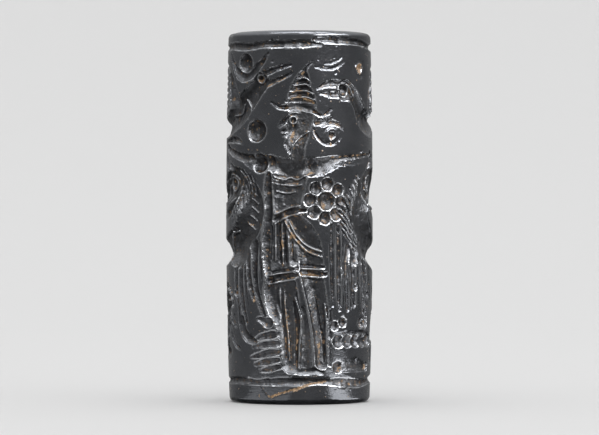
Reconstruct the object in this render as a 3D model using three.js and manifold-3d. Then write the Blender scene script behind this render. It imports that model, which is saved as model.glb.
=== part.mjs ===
// A cylinder seal of dark polished iron ore, bored lengthwise to hang on a string. Its side is carved
// in reverse with a master of animals between two lions, two birds, a griffin, a lion-headed attendant
// who holds a jug, and small signs between them. Millimetres, +Z up, standing on the centre of its
// lower end.
//
// The carving is laid out on the rolled-out impression: "around" runs to the right along one turn,
// from -turn / 2 to turn / 2, and "up" is the height above the lower end. The stone is its mirror.
import * as THREE from 'three';
import { mergeVertices } from 'three/addons/utils/BufferGeometryUtils.js';
import Module from 'manifold-3d';

// The stone
const height = 24.5;
const bellyRadius = 4.9;
const bellyHeight = 12.5;
const upperEndRadius = 4.74;
const lowerEndRadius = 4.68;
const rimRounding = 0.35;
const turn = 30.5;

// The bore, drilled from both ends until the holes met
const boreRadius = 1.3;
const boreMouthRadius = 1.6;
const boreMouthDepth = 1.4;
const boreSides = 20;
const boreOverrun = 1;

// The carver's tools: a wheel's bite nears wheelDepth as its half width passes wheelSpread, and a
// drill's bite is most of its radius. A high cutBlend keeps the deeper of two cuts that cross, and
// cutRoundness shapes a cut's section, from a box at 0 to a parabola at 1.
const wheelDepth = 0.62;
const wheelSpread = 0.72;
const drillShare = 0.85;
const drillWear = 0.5;
const cutBlend = 5;
const cutRoundness = 0.7;
const softPasses = 3;

// The mesh: its finest cell is one turn / gridSteps wide, and cells stay larger where they lie within
// flatness of the surface. A curved cut has stationSteps stretches between two of its stations.
const gridSteps = 256;
const flatness = 0.066;
const stationSteps = 5;
const curveTension = 0.5;

const cuts = [];

// A station is [around, up, half width]. A wheel cut sweeps through its stations in a smooth curve.
function wheel(...stations) {
  const points = stations.map((station) => new THREE.Vector3(...station));
  const curve = new THREE.CatmullRomCurve3(points, false, 'catmullrom', curveTension);
  const swept = stations.length > 2 ? curve.getPoints(stationSteps * (stations.length - 1)) : points;
  cuts.push({
    stations: swept.map((p) => [p.x, p.y, p.z]),
    bite: (halfWidth) => wheelDepth * (1 - Math.exp(-halfWidth / wheelSpread)),
  });
}

// A ball drill sinks round pits at its stations.
function drill(...stations) {
  for (const station of stations) {
    cuts.push({
      stations: [station, station],
      bite: (radius) => (drillShare * radius) / (1 + drillWear * radius),
    });
  }
}

// A tube drill cuts a ring.
function tubeDrill([around, up, radius], halfWidth) {
  const sides = 16;
  const stations = [];
  for (let side = 0; side <= sides; side += 1) {
    const angle = (side / sides) * 2 * Math.PI;
    stations.push([around + radius * Math.cos(angle), up + radius * Math.sin(angle), halfWidth]);
  }
  wheel(...stations);
}

// A station part of the way from one station to another
function between(first, last, share) {
  return first.map((value, index) => value + (last[index] - value) * share);
}

// A fan of feathers or locks: one wheel cut each, from a line of roots to a line of tips
function fan(count, rootFirst, rootLast, tipFirst, tipLast) {
  for (let each = 0; each < count; each += 1) {
    const share = each / (count - 1);
    wheel(between(rootFirst, rootLast, share), between(tipFirst, tipLast, share));
  }
}

function borders() {
  const halfWidth = 0.2;
  for (const up of [1.46, 23.56]) {
    wheel([-turn / 2, up, halfWidth], [0, up, halfWidth], [turn / 2, up, halfWidth]);
  }
}

function leftBird() {
  const rump = [-9.2, 19.15, 0.42];
  const breast = [-6.1, 18.4, 1.02];
  const shoulder = [-6.2, 18.9, 0.7];
  const neck = [-4.4, 19.75, 0.52];
  const head = [-3.35, 20.58, 0.66];
  wheel([-11.2, 19.65, 0.28], rump, [-7.4, 18.65, 0.75], breast, [-5, 18.85, 0.75], neck, head);
  wheel(head, [-2.2, 20.95, 0.26], [-1.25, 20.65, 0.12]);
  wheel(head, [-2.2, 20.3, 0.2], [-1.5, 20.32, 0.11]);
  wheel(shoulder, [-6.6, 20.2, 0.52], [-6.85, 21.7, 0.42]);
  fan(5, [-7, 22.1, 0.26], [-7.2, 19.5, 0.26], [-10.4, 22.95, 0.18], [-9.7, 20.2, 0.18]);
  fan(3, [-10.2, 19.6, 0.26], [-10.2, 19.4, 0.26], [-11.9, 20.4, 0.2], [-11.9, 19.1, 0.2]);
}

function rightBird() {
  const head = [2.8, 21.25, 0.54];
  const breast = [5.4, 18.75, 0.98];
  const rump = [8.8, 18.15, 0.48];
  wheel(head, [3.3, 20.45, 0.62], [4.1, 19.6, 0.8], breast, [7.2, 18.35, 0.75], rump, [10.2, 18.05, 0.36]);
  wheel(head, [1.5, 21.97, 0.22], [0.6, 22.2, 0.1]);
  wheel(head, [1.5, 21.25, 0.2], [0.55, 21.62, 0.1]);
  wheel([4.8, 19.4, 0.8], [5.6, 20.6, 0.65], [6.15, 21.7, 0.42]);
  fan(5, [6.3, 21.9, 0.26], [6.1, 19.5, 0.26], [9.8, 22.85, 0.18], [8.6, 19.75, 0.18]);
  fan(3, [9.9, 18.2, 0.26], [9.9, 18, 0.26], [11.4, 18.7, 0.2], [11.3, 17.4, 0.2]);
}

function griffin() {
  const shoulder = [-12.55, 16.05, 0.85];
  const head = [-9.85, 17.45, 0.85];
  const rump = [-18.9, 16.55, 0.5];
  wheel(
    rump, [-17.7, 16.35, 0.9], [-16.2, 16.45, 0.8], [-14.9, 16.05, 0.85], [-13.7, 15.75, 0.85], shoulder,
  );
  wheel(shoulder, [-11.3, 16.75, 0.62], [-10.6, 17.15, 0.72], head);
  wheel(head, [-8.5, 17.25, 0.3], [-7.4, 16.5, 0.12]);
  wheel([-10, 16.8, 0.35], [-9.2, 16.75, 0.2], [-8.5, 16.6, 0.1]);
  wheel([-18.2, 16.95, 0.45], [-19.4, 16.75, 0.33], [-21.7, 16.4, 0.26], [-22.6, 16.05, 0.2]);
  wheel(
    [-18.9, 16.3, 0.5], [-19.6, 15.55, 0.38], [-20.9, 15.3, 0.32], [-21.8, 14.75, 0.28],
    [-22.2, 14.05, 0.22],
  );
  wheel([-11.4, 16.2, 0.38], [-10.2, 16.05, 0.3], [-8.8, 15.65, 0.2]);
  wheel([-13.5, 14.85, 0.28], [-12.2, 14.65, 0.42], [-10.8, 14.85, 0.36], [-9.8, 14.75, 0.28]);
  drill([-9.25, 14.5, 0.44], [-8.6, 15.58, 0.27], [-22.7, 15.9, 0.26], [-22.4, 13.3, 0.3]);
  wheel(
    [-17.2, 17.3, 0.4], [-17.7, 18.4, 0.26], [-18.4, 19.9, 0.17], [-18.8, 21.2, 0.14],
    [-18.8, 22.2, 0.14],
  );
  drill([-18.7, 22.62, 0.42]);
  fan(5, [-13.7, 20.5, 0.26], [-14.1, 18.5, 0.26], [-17.4, 22.4, 0.18], [-16.4, 19.2, 0.18]);
  fan(3, [-14.15, 18, 0.22], [-14.15, 16.9, 0.22], [-15.9, 18.3, 0.17], [-15.4, 17.3, 0.17]);
  wheel([-13.95, 19.9, 0.17], [-13.9, 16.3, 0.17]);
  wheel([-13.3, 20.3, 0.22], [-13.45, 16.6, 0.2]);
  drill([-12.95, 19.8, 0.22], [-12.6, 19.4, 0.22], [-12.7, 18.85, 0.24], [-12.6, 18.3, 0.22]);
  drill([-12.15, 17.85, 0.32]);
}

function leftLion() {
  const poll = [-6.3, 14.7, 0.75];
  const shoulder = [-5.9, 10.8, 1.1];
  const hip = [-9.7, 9.1, 1];
  const hock = [-10.9, 5.3, 0.3];
  wheel(
    poll, [-5.3, 14.1, 1], [-4.75, 13, 1.05], [-5, 11.8, 1.1], shoulder, [-7.3, 10, 1], [-8.6, 9.5, 0.9],
    hip,
  );
  wheel([-7.1, 14.5, 1.02], [-7.6, 13.8, 0.85], [-8.2, 13.25, 0.55], [-8.8, 13.1, 0.28]);
  wheel([-7, 13.9, 0.6], [-7.5, 13.1, 0.42], [-7.9, 12.55, 0.28]);
  wheel([-6, 15.35, 0.35], [-6.5, 16.3, 0.14]);
  fan(6, [-4.3, 15, 0.2], [-3, 11.6, 0.2], [-4.9, 14.05, 0.24], [-4.6, 10.2, 0.24]);
  wheel(hip, [-9.85, 8.2, 1], [-10.1, 7.2, 0.8], [-10.4, 6.3, 0.55], hock, [-11.4, 4.85, 0.22]);
  wheel(hock, [-11.15, 3.4, 0.26], [-11.1, 2.5, 0.26]);
  wheel([-10.3, 8.4, 0.55], [-11.1, 7.2, 0.38], [-12, 6.45, 0.3], [-12.75, 6.05, 0.27]);
  wheel([-12.6, 5.95, 0.26], [-12.75, 5, 0.3], [-13.1, 2.9, 0.28]);
  wheel([-5.1, 11.2, 1], [-4.7, 10.1, 0.5], [-5.05, 9.2, 0.36], [-5.4, 7, 0.3], [-5.3, 5.7, 0.26]);
  wheel([-4.4, 10.8, 0.6], [-3.6, 9.6, 0.38], [-3.7, 7.4, 0.3], [-3.55, 5.8, 0.26]);
  drill([-10.3, 2.3, 0.38], [-12.4, 2.4, 0.38], [-13.05, 2.5, 0.3]);
  drill([-5, 5.2, 0.4], [-3.05, 5.35, 0.34], [-2.38, 5.1, 0.34]);
  wheel(
    [-9.7, 9.95, 0.3], [-11.3, 10.85, 0.23], [-11.75, 11.7, 0.22], [-11.5, 12.7, 0.22], [-10.7, 13.35, 0.22],
    [-9.8, 13.15, 0.22], [-9.25, 12.45, 0.21], [-9.3, 11.85, 0.2], [-9.75, 11.6, 0.22],
  );
  drill([-10.6, 12.1, 0.3]);
}

function rightLion() {
  const poll = [5.1, 15, 0.85];
  const shoulder = [4.2, 11.1, 1.05];
  const hip = [9.6, 9.3, 0.95];
  const hock = [11, 5.5, 0.34];
  wheel(poll, [4.1, 14.3, 1.1], [3.65, 13.2, 1.02], [3.8, 12.2, 0.95], shoulder);
  wheel(shoulder, [5.4, 10.45, 1.05], [6.9, 10.05, 0.92], [8.4, 9.8, 0.82], hip);
  wheel([5.9, 14.6, 1], [6.5, 14.2, 0.75], [7.2, 13.8, 0.55], [7.75, 13.5, 0.38]);
  wheel([6.1, 13.8, 0.6], [6.5, 13, 0.42], [7.5, 12.7, 0.3]);
  wheel([5.6, 15.5, 0.3], [6.55, 16.25, 0.14]);
  wheel([6.3, 15.7, 0.25], [6.95, 16.4, 0.14]);
  wheel(hip, [9.7, 8.3, 1], [10, 7.2, 0.8], [10.5, 6.2, 0.52], hock, [11.6, 5.2, 0.22]);
  wheel(hock, [11.35, 4.6, 0.3], [11, 2.8, 0.3], [10.4, 2.45, 0.35], [9.75, 2.2, 0.18]);
  wheel([10.7, 8.6, 0.4], [11.3, 7.4, 0.34], [12.75, 6.1, 0.27]);
  wheel([12.75, 5.9, 0.27], [12.85, 4.8, 0.28], [12.7, 2.8, 0.28], [12.1, 2.5, 0.3], [11.6, 2.2, 0.18]);
  wheel([3.6, 11, 0.6], [3.45, 9.5, 0.36], [3.38, 8.4, 0.32], [3.12, 7.2, 0.28], [2.4, 5.7, 0.26]);
  wheel([4.7, 10.4, 0.6], [4.75, 9.1, 0.38], [4.72, 7.8, 0.33], [4.25, 5.5, 0.3]);
  drill([2.15, 5.35, 0.38], [3.6, 4.85, 0.42]);
  wheel(
    [9.4, 10.35, 0.3], [10.2, 11, 0.25], [10.7, 11.8, 0.24], [10.6, 12.6, 0.22], [9.9, 13.1, 0.21],
    [8.6, 12.3, 0.15],
  );
  drill([9.2, 11.8, 0.3]);
}

function master() {
  const jaw = [0.28, 17.75, 0.66];
  const chin = [0.46, 17.4, 0.44];
  const throat = [0.2, 16.1, 0.5];
  const knot = [0.98, 12.9, 1];
  wheel([-0.13, 19.75, 1], [-0.1, 20.55, 0.7], [-0.2, 21.25, 0.46], [-0.35, 21.8, 0.16]);
  wheel([-0.35, 21.8, 0.16], [-0.9, 22.46, 0.1]);
  wheel([-1.4, 18.95, 0.16], [-0.6, 19.35, 0.24], [0.9, 19.45, 0.24], [1.9, 19.78, 0.12]);
  wheel([-2.2, 18.78, 0.12], [-1.12, 18.42, 0.22]);
  wheel([-0.1, 18.85, 0.84], [0.05, 18.3, 0.86], jaw, chin, [0.68, 16.6, 0.16]);
  wheel([-0.15, 17.6, 0.5], [0.05, 16.9, 0.42], throat);
  tubeDrill([-2.2, 17.65, 0.6], 0.18);
  drill([-2.2, 17.65, 0.26]);
  wheel([-2.1, 17, 0.14], [-1.4, 17.3, 0.18], [-0.9, 17.95, 0.13]);
  wheel(throat, [0.6, 15.3, 0.95], [0.66, 14.9, 1.12], [0.84, 14.2, 1.2], [0.95, 13.5, 1.08], knot);
  wheel([0.2, 15.5, 0.66], [-0.9, 15.55, 0.6], [-2, 15.8, 0.45], [-3.4, 16.06, 0.34], [-6.15, 16.42, 0.26]);
  wheel([0.6, 15.4, 0.6], [2.3, 15.85, 0.6], [3.4, 16.08, 0.4], [4.8, 16.35, 0.32], [6.3, 16.86, 0.25]);
  wheel([-0.4, 12.72, 0.2], [0.8, 12.6, 0.24], [1.8, 12.1, 0.18]);
  wheel([0.5, 12.1, 0.6], [0, 11.3, 0.92], [-0.4, 10.3, 1.06], [-0.55, 9.35, 1.04]);
  wheel([1.45, 12.2, 0.6], [1.42, 10.8, 0.84], [1.38, 9.45, 0.98]);
  wheel([2.15, 15.2, 0.24], [2.05, 14, 0.34], [1.95, 12.4, 0.36], [2, 10.6, 0.34], [2.1, 9.3, 0.24]);
  for (const up of [9, 8.55]) {
    wheel([-1.7, up, 0.18], [-0.2, up + 0.08, 0.22], [2.1, up - 0.34, 0.18]);
  }
  wheel([-0.8, 8.4, 0.78], [-1.05, 7.1, 0.76], [-1.35, 5.5, 0.67], [-1.5, 4, 0.56], [-1.54, 2.75, 0.48]);
  wheel([1.25, 8.4, 0.98], [1.12, 7.1, 1], [0.82, 5.7, 0.94], [0.55, 4.2, 0.84], [0.5, 2.75, 0.74]);
  wheel([2.1, 8, 0.2], [1.95, 7, 0.34], [1.65, 5.9, 0.24]);
  wheel([-1.55, 2.14, 0.2], [-0.9, 2.22, 0.28], [0, 2.2, 0.26], [1.1, 2.5, 0.18]);
}

function genius() {
  wheel([-17, 14.15, 0.72], [-16.3, 14, 0.62], [-14.8, 14, 0.34]);
  wheel([-16.6, 13.6, 0.6], [-15.8, 13.3, 0.42], [-15.1, 13.05, 0.28]);
  wheel([-17.4, 14.5, 0.3], [-19.1, 14.6, 0.12]);
  wheel([-17.8, 13, 0.5], [-16.9, 12.3, 0.8], [-16.2, 11.5, 0.9], [-16.1, 10.7, 0.7], [-16.2, 9.9, 0.5]);
  wheel([-16.2, 9.9, 0.5], [-16.25, 8.5, 0.8], [-16.2, 6, 0.82], [-16.35, 3.4, 0.66], [-16.5, 2.3, 0.5]);
  drill([-18.5, 13.4, 0.4], [-18.6, 12.55, 0.36], [-18.2, 11.6, 0.4], [-17.7, 10.6, 0.4]);
  drill([-17.35, 8.3, 0.42], [-17.4, 7.65, 0.36], [-17.25, 6.65, 0.3], [-17, 5.15, 0.33]);
  wheel([-14.8, 8.6, 0.16], [-14.7, 7.4, 0.34], [-14.95, 4, 0.3], [-15, 2.5, 0.2]);
  drill([-14.6, 2.3, 0.34], [-14.05, 2.3, 0.36]);
  wheel([-15.9, 10.8, 0.4], [-14.6, 9.95, 0.26], [-14.4, 11.8, 0.27], [-13.2, 13.1, 0.18]);
  wheel([-15.8, 10, 0.32], [-15.1, 9.2, 0.26], [-14.2, 8.7, 0.22], [-13.2, 8.35, 0.22], [-12.5, 8.6, 0.17]);
  wheel([-13, 10.9, 0.85], [-12.95, 10.6, 0.8]);
  wheel([-12.75, 11.5, 0.22], [-12.78, 12.2, 0.2], [-12.65, 12.8, 0.2], [-12, 13.02, 0.16]);
  wheel([-12.25, 11.6, 0.16], [-12, 12.6, 0.12]);
  drill([-13.05, 9.05, 0.3]);
}

function rosette() {
  const heart = [-1.8, 13.32, 0.6];
  const reach = 1.12;
  const petals = 8;
  const petalRadius = 0.42;
  drill(heart);
  for (let petal = 0; petal < petals; petal += 1) {
    const angle = (petal / petals) * 2 * Math.PI;
    drill([heart[0] + reach * Math.cos(angle), heart[1] + reach * Math.sin(angle), petalRadius]);
  }
  wheel([-2.1, 11.5, 0.2], [-2.3, 9.6, 0.3], [-2.5, 6.3, 0.22]);
}

function altar() {
  const pitch = 0.78;
  const balls = 5;
  for (let ball = 0; ball < balls; ball += 1) drill([-5.75 + ball * pitch, 4.15, 0.5]);
  wheel([-5.6, 2.3, 0.36], [-4.2, 2.45, 0.34], [-2.75, 2.35, 0.38]);
  for (const up of [3.3, 4.15]) wheel([1.85, up, 0.18], [3.9, up - 0.25, 0.15]);
}

function smallHeads() {
  // the animal's head
  wheel([-7.9, 5.2, 1], [-8.2, 4.6, 1.05], [-8.6, 3.8, 0.55], [-8.7, 3.2, 0.25]);
  wheel([-7.5, 5.3, 0.7], [-7, 4.5, 0.42], [-6.9, 3, 0.3]);
  wheel([-8.45, 6.2, 0.25], [-8.45, 7.3, 0.14]);
  wheel([-7.75, 6.2, 0.32], [-7.5, 6.9, 0.3], [-6.95, 7.6, 0.14]);
  wheel([-8.7, 3.1, 0.2], [-7.6, 2.2, 0.15]);
  // the person's head
  wheel([6.9, 6.3, 0.95], [7.15, 5.5, 0.9], [7.2, 4.7, 0.62], [6.95, 3.6, 0.7]);
  fan(5, [5.9, 6.6, 0.3], [7.8, 7.3, 0.3], [6.3, 6.5, 0.3], [7.6, 7, 0.3]);
  wheel([6.1, 6.1, 0.22], [5.1, 5.1, 0.15]);
  wheel([6.1, 5.2, 0.2], [5.2, 3.85, 0.18], [4.7, 3.62, 0.14]);
}

function signs() {
  const disk = [3, 17.92, 0.74];
  const sun = [4.1, 22.35, 0.62];
  drill(disk, sun);
  wheel(
    [2.2, 23.05, 0.12], [2.9, 22.3, 0.2], [3.6, 21.75, 0.3], [4.35, 21.6, 0.34],
    [5.05, 21.95, 0.28], [5.45, 22.55, 0.2], [5.8, 23.1, 0.12],
  );
  for (const eye of [[-4.75, 22.02, 0.52], [-11.85, 22.3, 0.74]]) {
    tubeDrill(eye, 0.2);
    drill([eye[0], eye[1], eye[2] / 2]);
  }
  wheel([-3.5, 22.5, 0.1], [-2.9, 22.18, 0.17], [-2, 21.95, 0.18], [-0.95, 22.05, 0.1]);
  wheel([4.2, 17.1, 0.12], [5.3, 17.42, 0.24], [6.7, 17.3, 0.12]);
}

// Adds up every cut on the grid, with a soft joint where two of them cross.
function carve() {
  const columns = gridSteps;
  const depth = new Float64Array(columns * (gridSteps + 1));
  for (const { stations, bite } of cuts) {
    const one = new Map();
    for (let index = 1; index < stations.length; index += 1) {
      stampStretch(one, stations[index - 1], stations[index], bite);
    }
    for (const [cell, value] of one) depth[cell] += value ** cutBlend;
  }
  return soften(depth.map((sum) => sum ** (1 / cutBlend)));
}

// Rounds the edges of the cuts: each pass mixes every cell with its four neighbours.
function soften(depth) {
  let smooth = depth;
  for (let pass = 0; pass < softPasses; pass += 1) {
    const before = smooth;
    smooth = before.map((value, cell) => {
      const column = cell % gridSteps;
      const left = before[cell - column + ((column + gridSteps - 1) % gridSteps)];
      const right = before[cell - column + ((column + 1) % gridSteps)];
      const below = before[cell - gridSteps] ?? 0;
      const above = before[cell + gridSteps] ?? 0;
      return (value * 2 + left + right + below + above) / 6;
    });
  }
  return smooth;
}

// One straight stretch of a cut, kept where it is deeper than the stretch before
function stampStretch(one, [fromAround, fromUp, fromWidth], [toAround, toUp, toWidth], bite) {
  const widest = Math.max(fromWidth, toWidth);
  const stepAround = turn / gridSteps;
  const stepUp = height / gridSteps;
  const runAround = toAround - fromAround;
  const runUp = toUp - fromUp;
  const runSquared = runAround ** 2 + runUp ** 2 || 1;
  const firstColumn = Math.floor((Math.min(fromAround, toAround) - widest) / stepAround);
  const lastColumn = Math.ceil((Math.max(fromAround, toAround) + widest) / stepAround);
  const firstRow = Math.max(0, Math.floor((Math.min(fromUp, toUp) - widest) / stepUp));
  const lastRow = Math.min(gridSteps, Math.ceil((Math.max(fromUp, toUp) + widest) / stepUp));
  for (let row = firstRow; row <= lastRow; row += 1) {
    for (let column = firstColumn; column <= lastColumn; column += 1) {
      const around = column * stepAround - fromAround;
      const up = row * stepUp - fromUp;
      const share = THREE.MathUtils.clamp((around * runAround + up * runUp) / runSquared, 0, 1);
      const halfWidth = fromWidth + (toWidth - fromWidth) * share;
      const offSquared = (around - runAround * share) ** 2 + (up - runUp * share) ** 2;
      const inside = 1 - offSquared / halfWidth ** 2;
      if (inside <= 0) continue;
      const cell = row * gridSteps + THREE.MathUtils.euclideanModulo(column, gridSteps);
      one.set(cell, Math.max(one.get(cell) ?? 0, bite(halfWidth) * inside ** cutRoundness));
    }
  }
}

// The uncarved stone's radius: a faint barrel, rounded over at the worn rims
function stoneRadius(up) {
  const endRadius = up > bellyHeight ? upperEndRadius : lowerEndRadius;
  const reach = up > bellyHeight ? height - bellyHeight : bellyHeight;
  const barrel = bellyRadius - (bellyRadius - endRadius) * ((up - bellyHeight) / reach) ** 2;
  const intoRim = Math.max(0, rimRounding - Math.min(up, height - up)) / rimRounding;
  return barrel - rimRounding * (1 - Math.sqrt(1 - intoRim ** 2));
}

// Grid place to a point on the stone, the mirror of its place in the impression
function surfacePoint(depth, column, row) {
  const up = (row / gridSteps) * height;
  const place = column % gridSteps;
  const radius = stoneRadius(up) - depth[row * gridSteps + place];
  const angle = (place / gridSteps) * 2 * Math.PI;
  return new THREE.Vector3(-radius * Math.sin(angle), -radius * Math.cos(angle), up);
}

// Each triangle of the grid is [column, row] of both ends of its long side, then of its right corner.
// A triangle splits at the middle of its long side.
function halves([a, b, c, d, e, f]) {
  const middle = [(a + c) / 2, (b + d) / 2];
  return [[e, f, a, b, ...middle], [c, d, e, f, ...middle]];
}

// How far the carved surface strays from each possible triangle, worst of everything inside it.
// Both sides of the seam get the same answer, so that their edges meet.
function measureStray(depth, roots) {
  const side = gridSteps + 1;
  const stray = new Float64Array(side * side);
  const levels = [roots];
  for (let level = 1; level < 2 * Math.log2(gridSteps); level += 1) {
    levels.push(levels.at(-1).flatMap(halves));
  }
  for (const triangles of levels.reverse()) {
    for (const [a, b, c, d, e, f] of triangles) {
      const column = (a + c) / 2;
      const row = (b + d) / 2;
      const straight = surfacePoint(depth, a, b).add(surfacePoint(depth, c, d)).multiplyScalar(0.5);
      const own = straight.distanceTo(surfacePoint(depth, column, row));
      const finest = triangles === levels[0];
      const inner = finest ? [] : [stray[cellBetween(a, b, e, f)], stray[cellBetween(c, d, e, f)]];
      stray[row * side + column] = Math.max(stray[row * side + column], own, ...inner);
    }
    for (let row = 0; row <= gridSteps; row += 1) {
      const worst = Math.max(stray[row * side], stray[row * side + gridSteps]);
      stray[row * side] = worst;
      stray[row * side + gridSteps] = worst;
    }
  }
  return stray;
}

function cellBetween(a, b, c, d) {
  return ((b + d) / 2) * (gridSteps + 1) + (a + c) / 2;
}

// The carved skin, closed by a flat fan at each end
function stoneSolid() {
  const depth = carve();
  const last = gridSteps;
  const roots = [[0, 0, last, last, last, 0], [last, last, 0, 0, 0, last]];
  const stray = measureStray(depth, roots);
  const positions = [];
  const add = (...points) => points.forEach((point) => positions.push(point.x, point.y, point.z));
  const lay = (triangle) => {
    const [a, b, c, d, e, f] = triangle;
    if (Number.isInteger((a + c) / 2) && stray[cellBetween(a, b, c, d)] > flatness) {
      halves(triangle).forEach(lay);
      return;
    }
    const corners = [[a, b], [c, d], [e, f]];
    add(...corners.map(([column, row]) => surfacePoint(depth, column, row)));
    for (const endRow of [0, last]) {
      const onRim = corners.filter(([, row]) => row === endRow).map(([column]) => column);
      if (onRim.length < 2) continue;
      onRim.sort((first, second) => first - second);
      if (endRow === last) onRim.reverse();
      add(...onRim.map((column) => surfacePoint(depth, column, endRow)));
      add(new THREE.Vector3(0, 0, (endRow / gridSteps) * height));
    }
  };
  roots.forEach(lay);
  const geometry = new THREE.BufferGeometry();
  geometry.setAttribute('position', new THREE.Float32BufferAttribute(positions, 3));
  return geometry;
}

// The bore, flaring at both mouths where the string has worn it
function boreSolid() {
  const outline = [
    [0, -boreOverrun], [boreMouthRadius, -boreOverrun], [boreMouthRadius, 0], [boreRadius, boreMouthDepth],
    [boreRadius, height - boreMouthDepth], [boreMouthRadius, height],
    [boreMouthRadius, height + boreOverrun], [0, height + boreOverrun],
  ];
  const turned = new THREE.LatheGeometry(outline.map(([x, y]) => new THREE.Vector2(x, y)), boreSides);
  return turned.rotateX(Math.PI / 2);
}

function toManifold(geometry) {
  const sameCorner = 1e-4;
  const merged = geometry.clone();
  merged.deleteAttribute('normal');
  merged.deleteAttribute('uv');
  const welded = mergeVertices(merged, sameCorner);
  return new wasm.Manifold(new wasm.Mesh({
    numProp: 3,
    vertProperties: new Float32Array(welded.attributes.position.array),
    triVerts: new Uint32Array(welded.index.array),
  }));
}

function toGeometry(solid) {
  const mesh = solid.getMesh();
  const geometry = new THREE.BufferGeometry();
  geometry.setAttribute('position', new THREE.BufferAttribute(new Float32Array(mesh.vertProperties), 3));
  geometry.setIndex(new THREE.BufferAttribute(new Uint32Array(mesh.triVerts), 1));
  geometry.computeVertexNormals();
  return geometry;
}

const wasm = await Module();
wasm.setup();

for (const figure of [
  borders, leftBird, rightBird, griffin, leftLion, rightLion, master, genius, rosette, altar,
  smallHeads, signs,
]) figure();

const stone = new THREE.MeshStandardMaterial({ color: 0x3e3f43, roughness: 0.3, metalness: 0.3 });
const bored = toManifold(stoneSolid()).subtract(toManifold(boreSolid()));
const seal = new THREE.Mesh(toGeometry(bored), stone);
seal.name = 'seal';

const part = new THREE.Group();
part.add(seal);
export default part;
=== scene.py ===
import math
import bpy
import numpy
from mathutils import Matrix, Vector


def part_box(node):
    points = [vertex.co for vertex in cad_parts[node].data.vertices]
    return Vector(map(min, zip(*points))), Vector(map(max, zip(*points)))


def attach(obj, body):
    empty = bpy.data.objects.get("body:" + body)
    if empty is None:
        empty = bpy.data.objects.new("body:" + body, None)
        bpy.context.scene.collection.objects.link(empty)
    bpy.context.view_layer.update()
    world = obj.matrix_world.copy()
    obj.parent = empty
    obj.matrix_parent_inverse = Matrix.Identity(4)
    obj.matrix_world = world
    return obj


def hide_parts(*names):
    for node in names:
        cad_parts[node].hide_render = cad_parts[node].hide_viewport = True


# A cylinder seal of dark polished iron ore, standing on its lower end. The carving is laid out flat
# first, as it prints: "around" runs to the right over one turn and "up" is the height, both in
# millimetres. It is then wrapped round the stone as its mirror image.

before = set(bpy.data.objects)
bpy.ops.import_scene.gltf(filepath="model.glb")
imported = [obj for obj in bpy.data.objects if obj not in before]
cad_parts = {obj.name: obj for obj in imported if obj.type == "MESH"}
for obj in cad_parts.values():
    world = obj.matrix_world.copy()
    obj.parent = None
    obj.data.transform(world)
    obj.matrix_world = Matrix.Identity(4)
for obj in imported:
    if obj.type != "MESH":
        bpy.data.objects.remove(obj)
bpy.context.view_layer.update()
mm = 0.001
lowCorner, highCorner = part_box("seal")
sealHeight = (highCorner[2] - lowCorner[2]) / mm
bellyRadius = (highCorner[0] - lowCorner[0]) / 2 / mm

stoneShape = dict(
    turn=30.5,  # length of the print over one turn
    bellyHeight=12.5,
    upperEndRadius=4.74,
    lowerEndRadius=4.68,
    rimRounding=0.35,
    boreRadius=1.3,
    boreMouthRadius=1.6,
    boreMouthDepth=1.4,
    steps=512,  # the grid that the tools cut, over the turn and over the height; a power of two
    coarsest=16,  # steps
    flatness=0.001,  # how near the light mesh tries to keep, and how fast it gives way
    givesWay=1.08,
    mostTriangles=170000,
)


# A station is (around, up, half width). A cut sweeps through its stations in one smooth curve.
tools = dict(
    wheelDepth=0.62,  # what a wide wheel's bite comes near to
    wheelSpread=0.72,
    wheelSection=0.8,  # 0 a square trough, 1 a round one
    fineSection=1.0,
    fineWidth=0.16,
    drillShare=0.85,
    drillWear=0.5,
    drillSection=0.62,
    blend=5,  # high keeps the deeper of two cuts that cross
    curveSteps=6,
    floorDepth=0.1,  # touches fade out where the cut is shallower than this
    tubeSteps=24,
    lineDepth=0.09,
    ridgeDepth=-0.13,
    featherBow=0.06,
    eyeBead=0.09,
    eyeRing=-0.12,
)


def curveThrough(stations):
    # Catmull-Rom places with straight widths between two stations
    points = numpy.array(stations, dtype=float)
    if len(points) < 3:
        return numpy.vstack([points, points[-1:]])
    ends = numpy.vstack([2 * points[0] - points[1], points, 2 * points[-1] - points[-2]])
    path = []
    for before, start, end, after in zip(ends, ends[1:], ends[2:], ends[3:]):
        for step in range(tools["curveSteps"]):
            t = step / tools["curveSteps"]
            place = 0.5 * (2 * start + (end - before) * t + (2 * before - 5 * start + 4 * end - after) * t**2
                           + (3 * start - before - 3 * end + after) * t**3)
            place[2] = start[2] + (end[2] - start[2]) * t
            path.append(place)
    return numpy.array(path + [points[-1]])


def arc(around, up, radius, halfWidth, first=0, last=2 * math.pi, steps=18):
    return [(around + radius * math.cos(angle), up + radius * math.sin(angle), halfWidth)
            for angle in numpy.linspace(first, last, steps + 1)]


def wheelBite(width):
    return tools["wheelDepth"] * (1 - numpy.exp(-width / tools["wheelSpread"]))


def drillBite(width):
    return tools["drillShare"] * width / (1 + tools["drillWear"] * width)


def evenBite(width):
    return numpy.ones_like(width)


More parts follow.
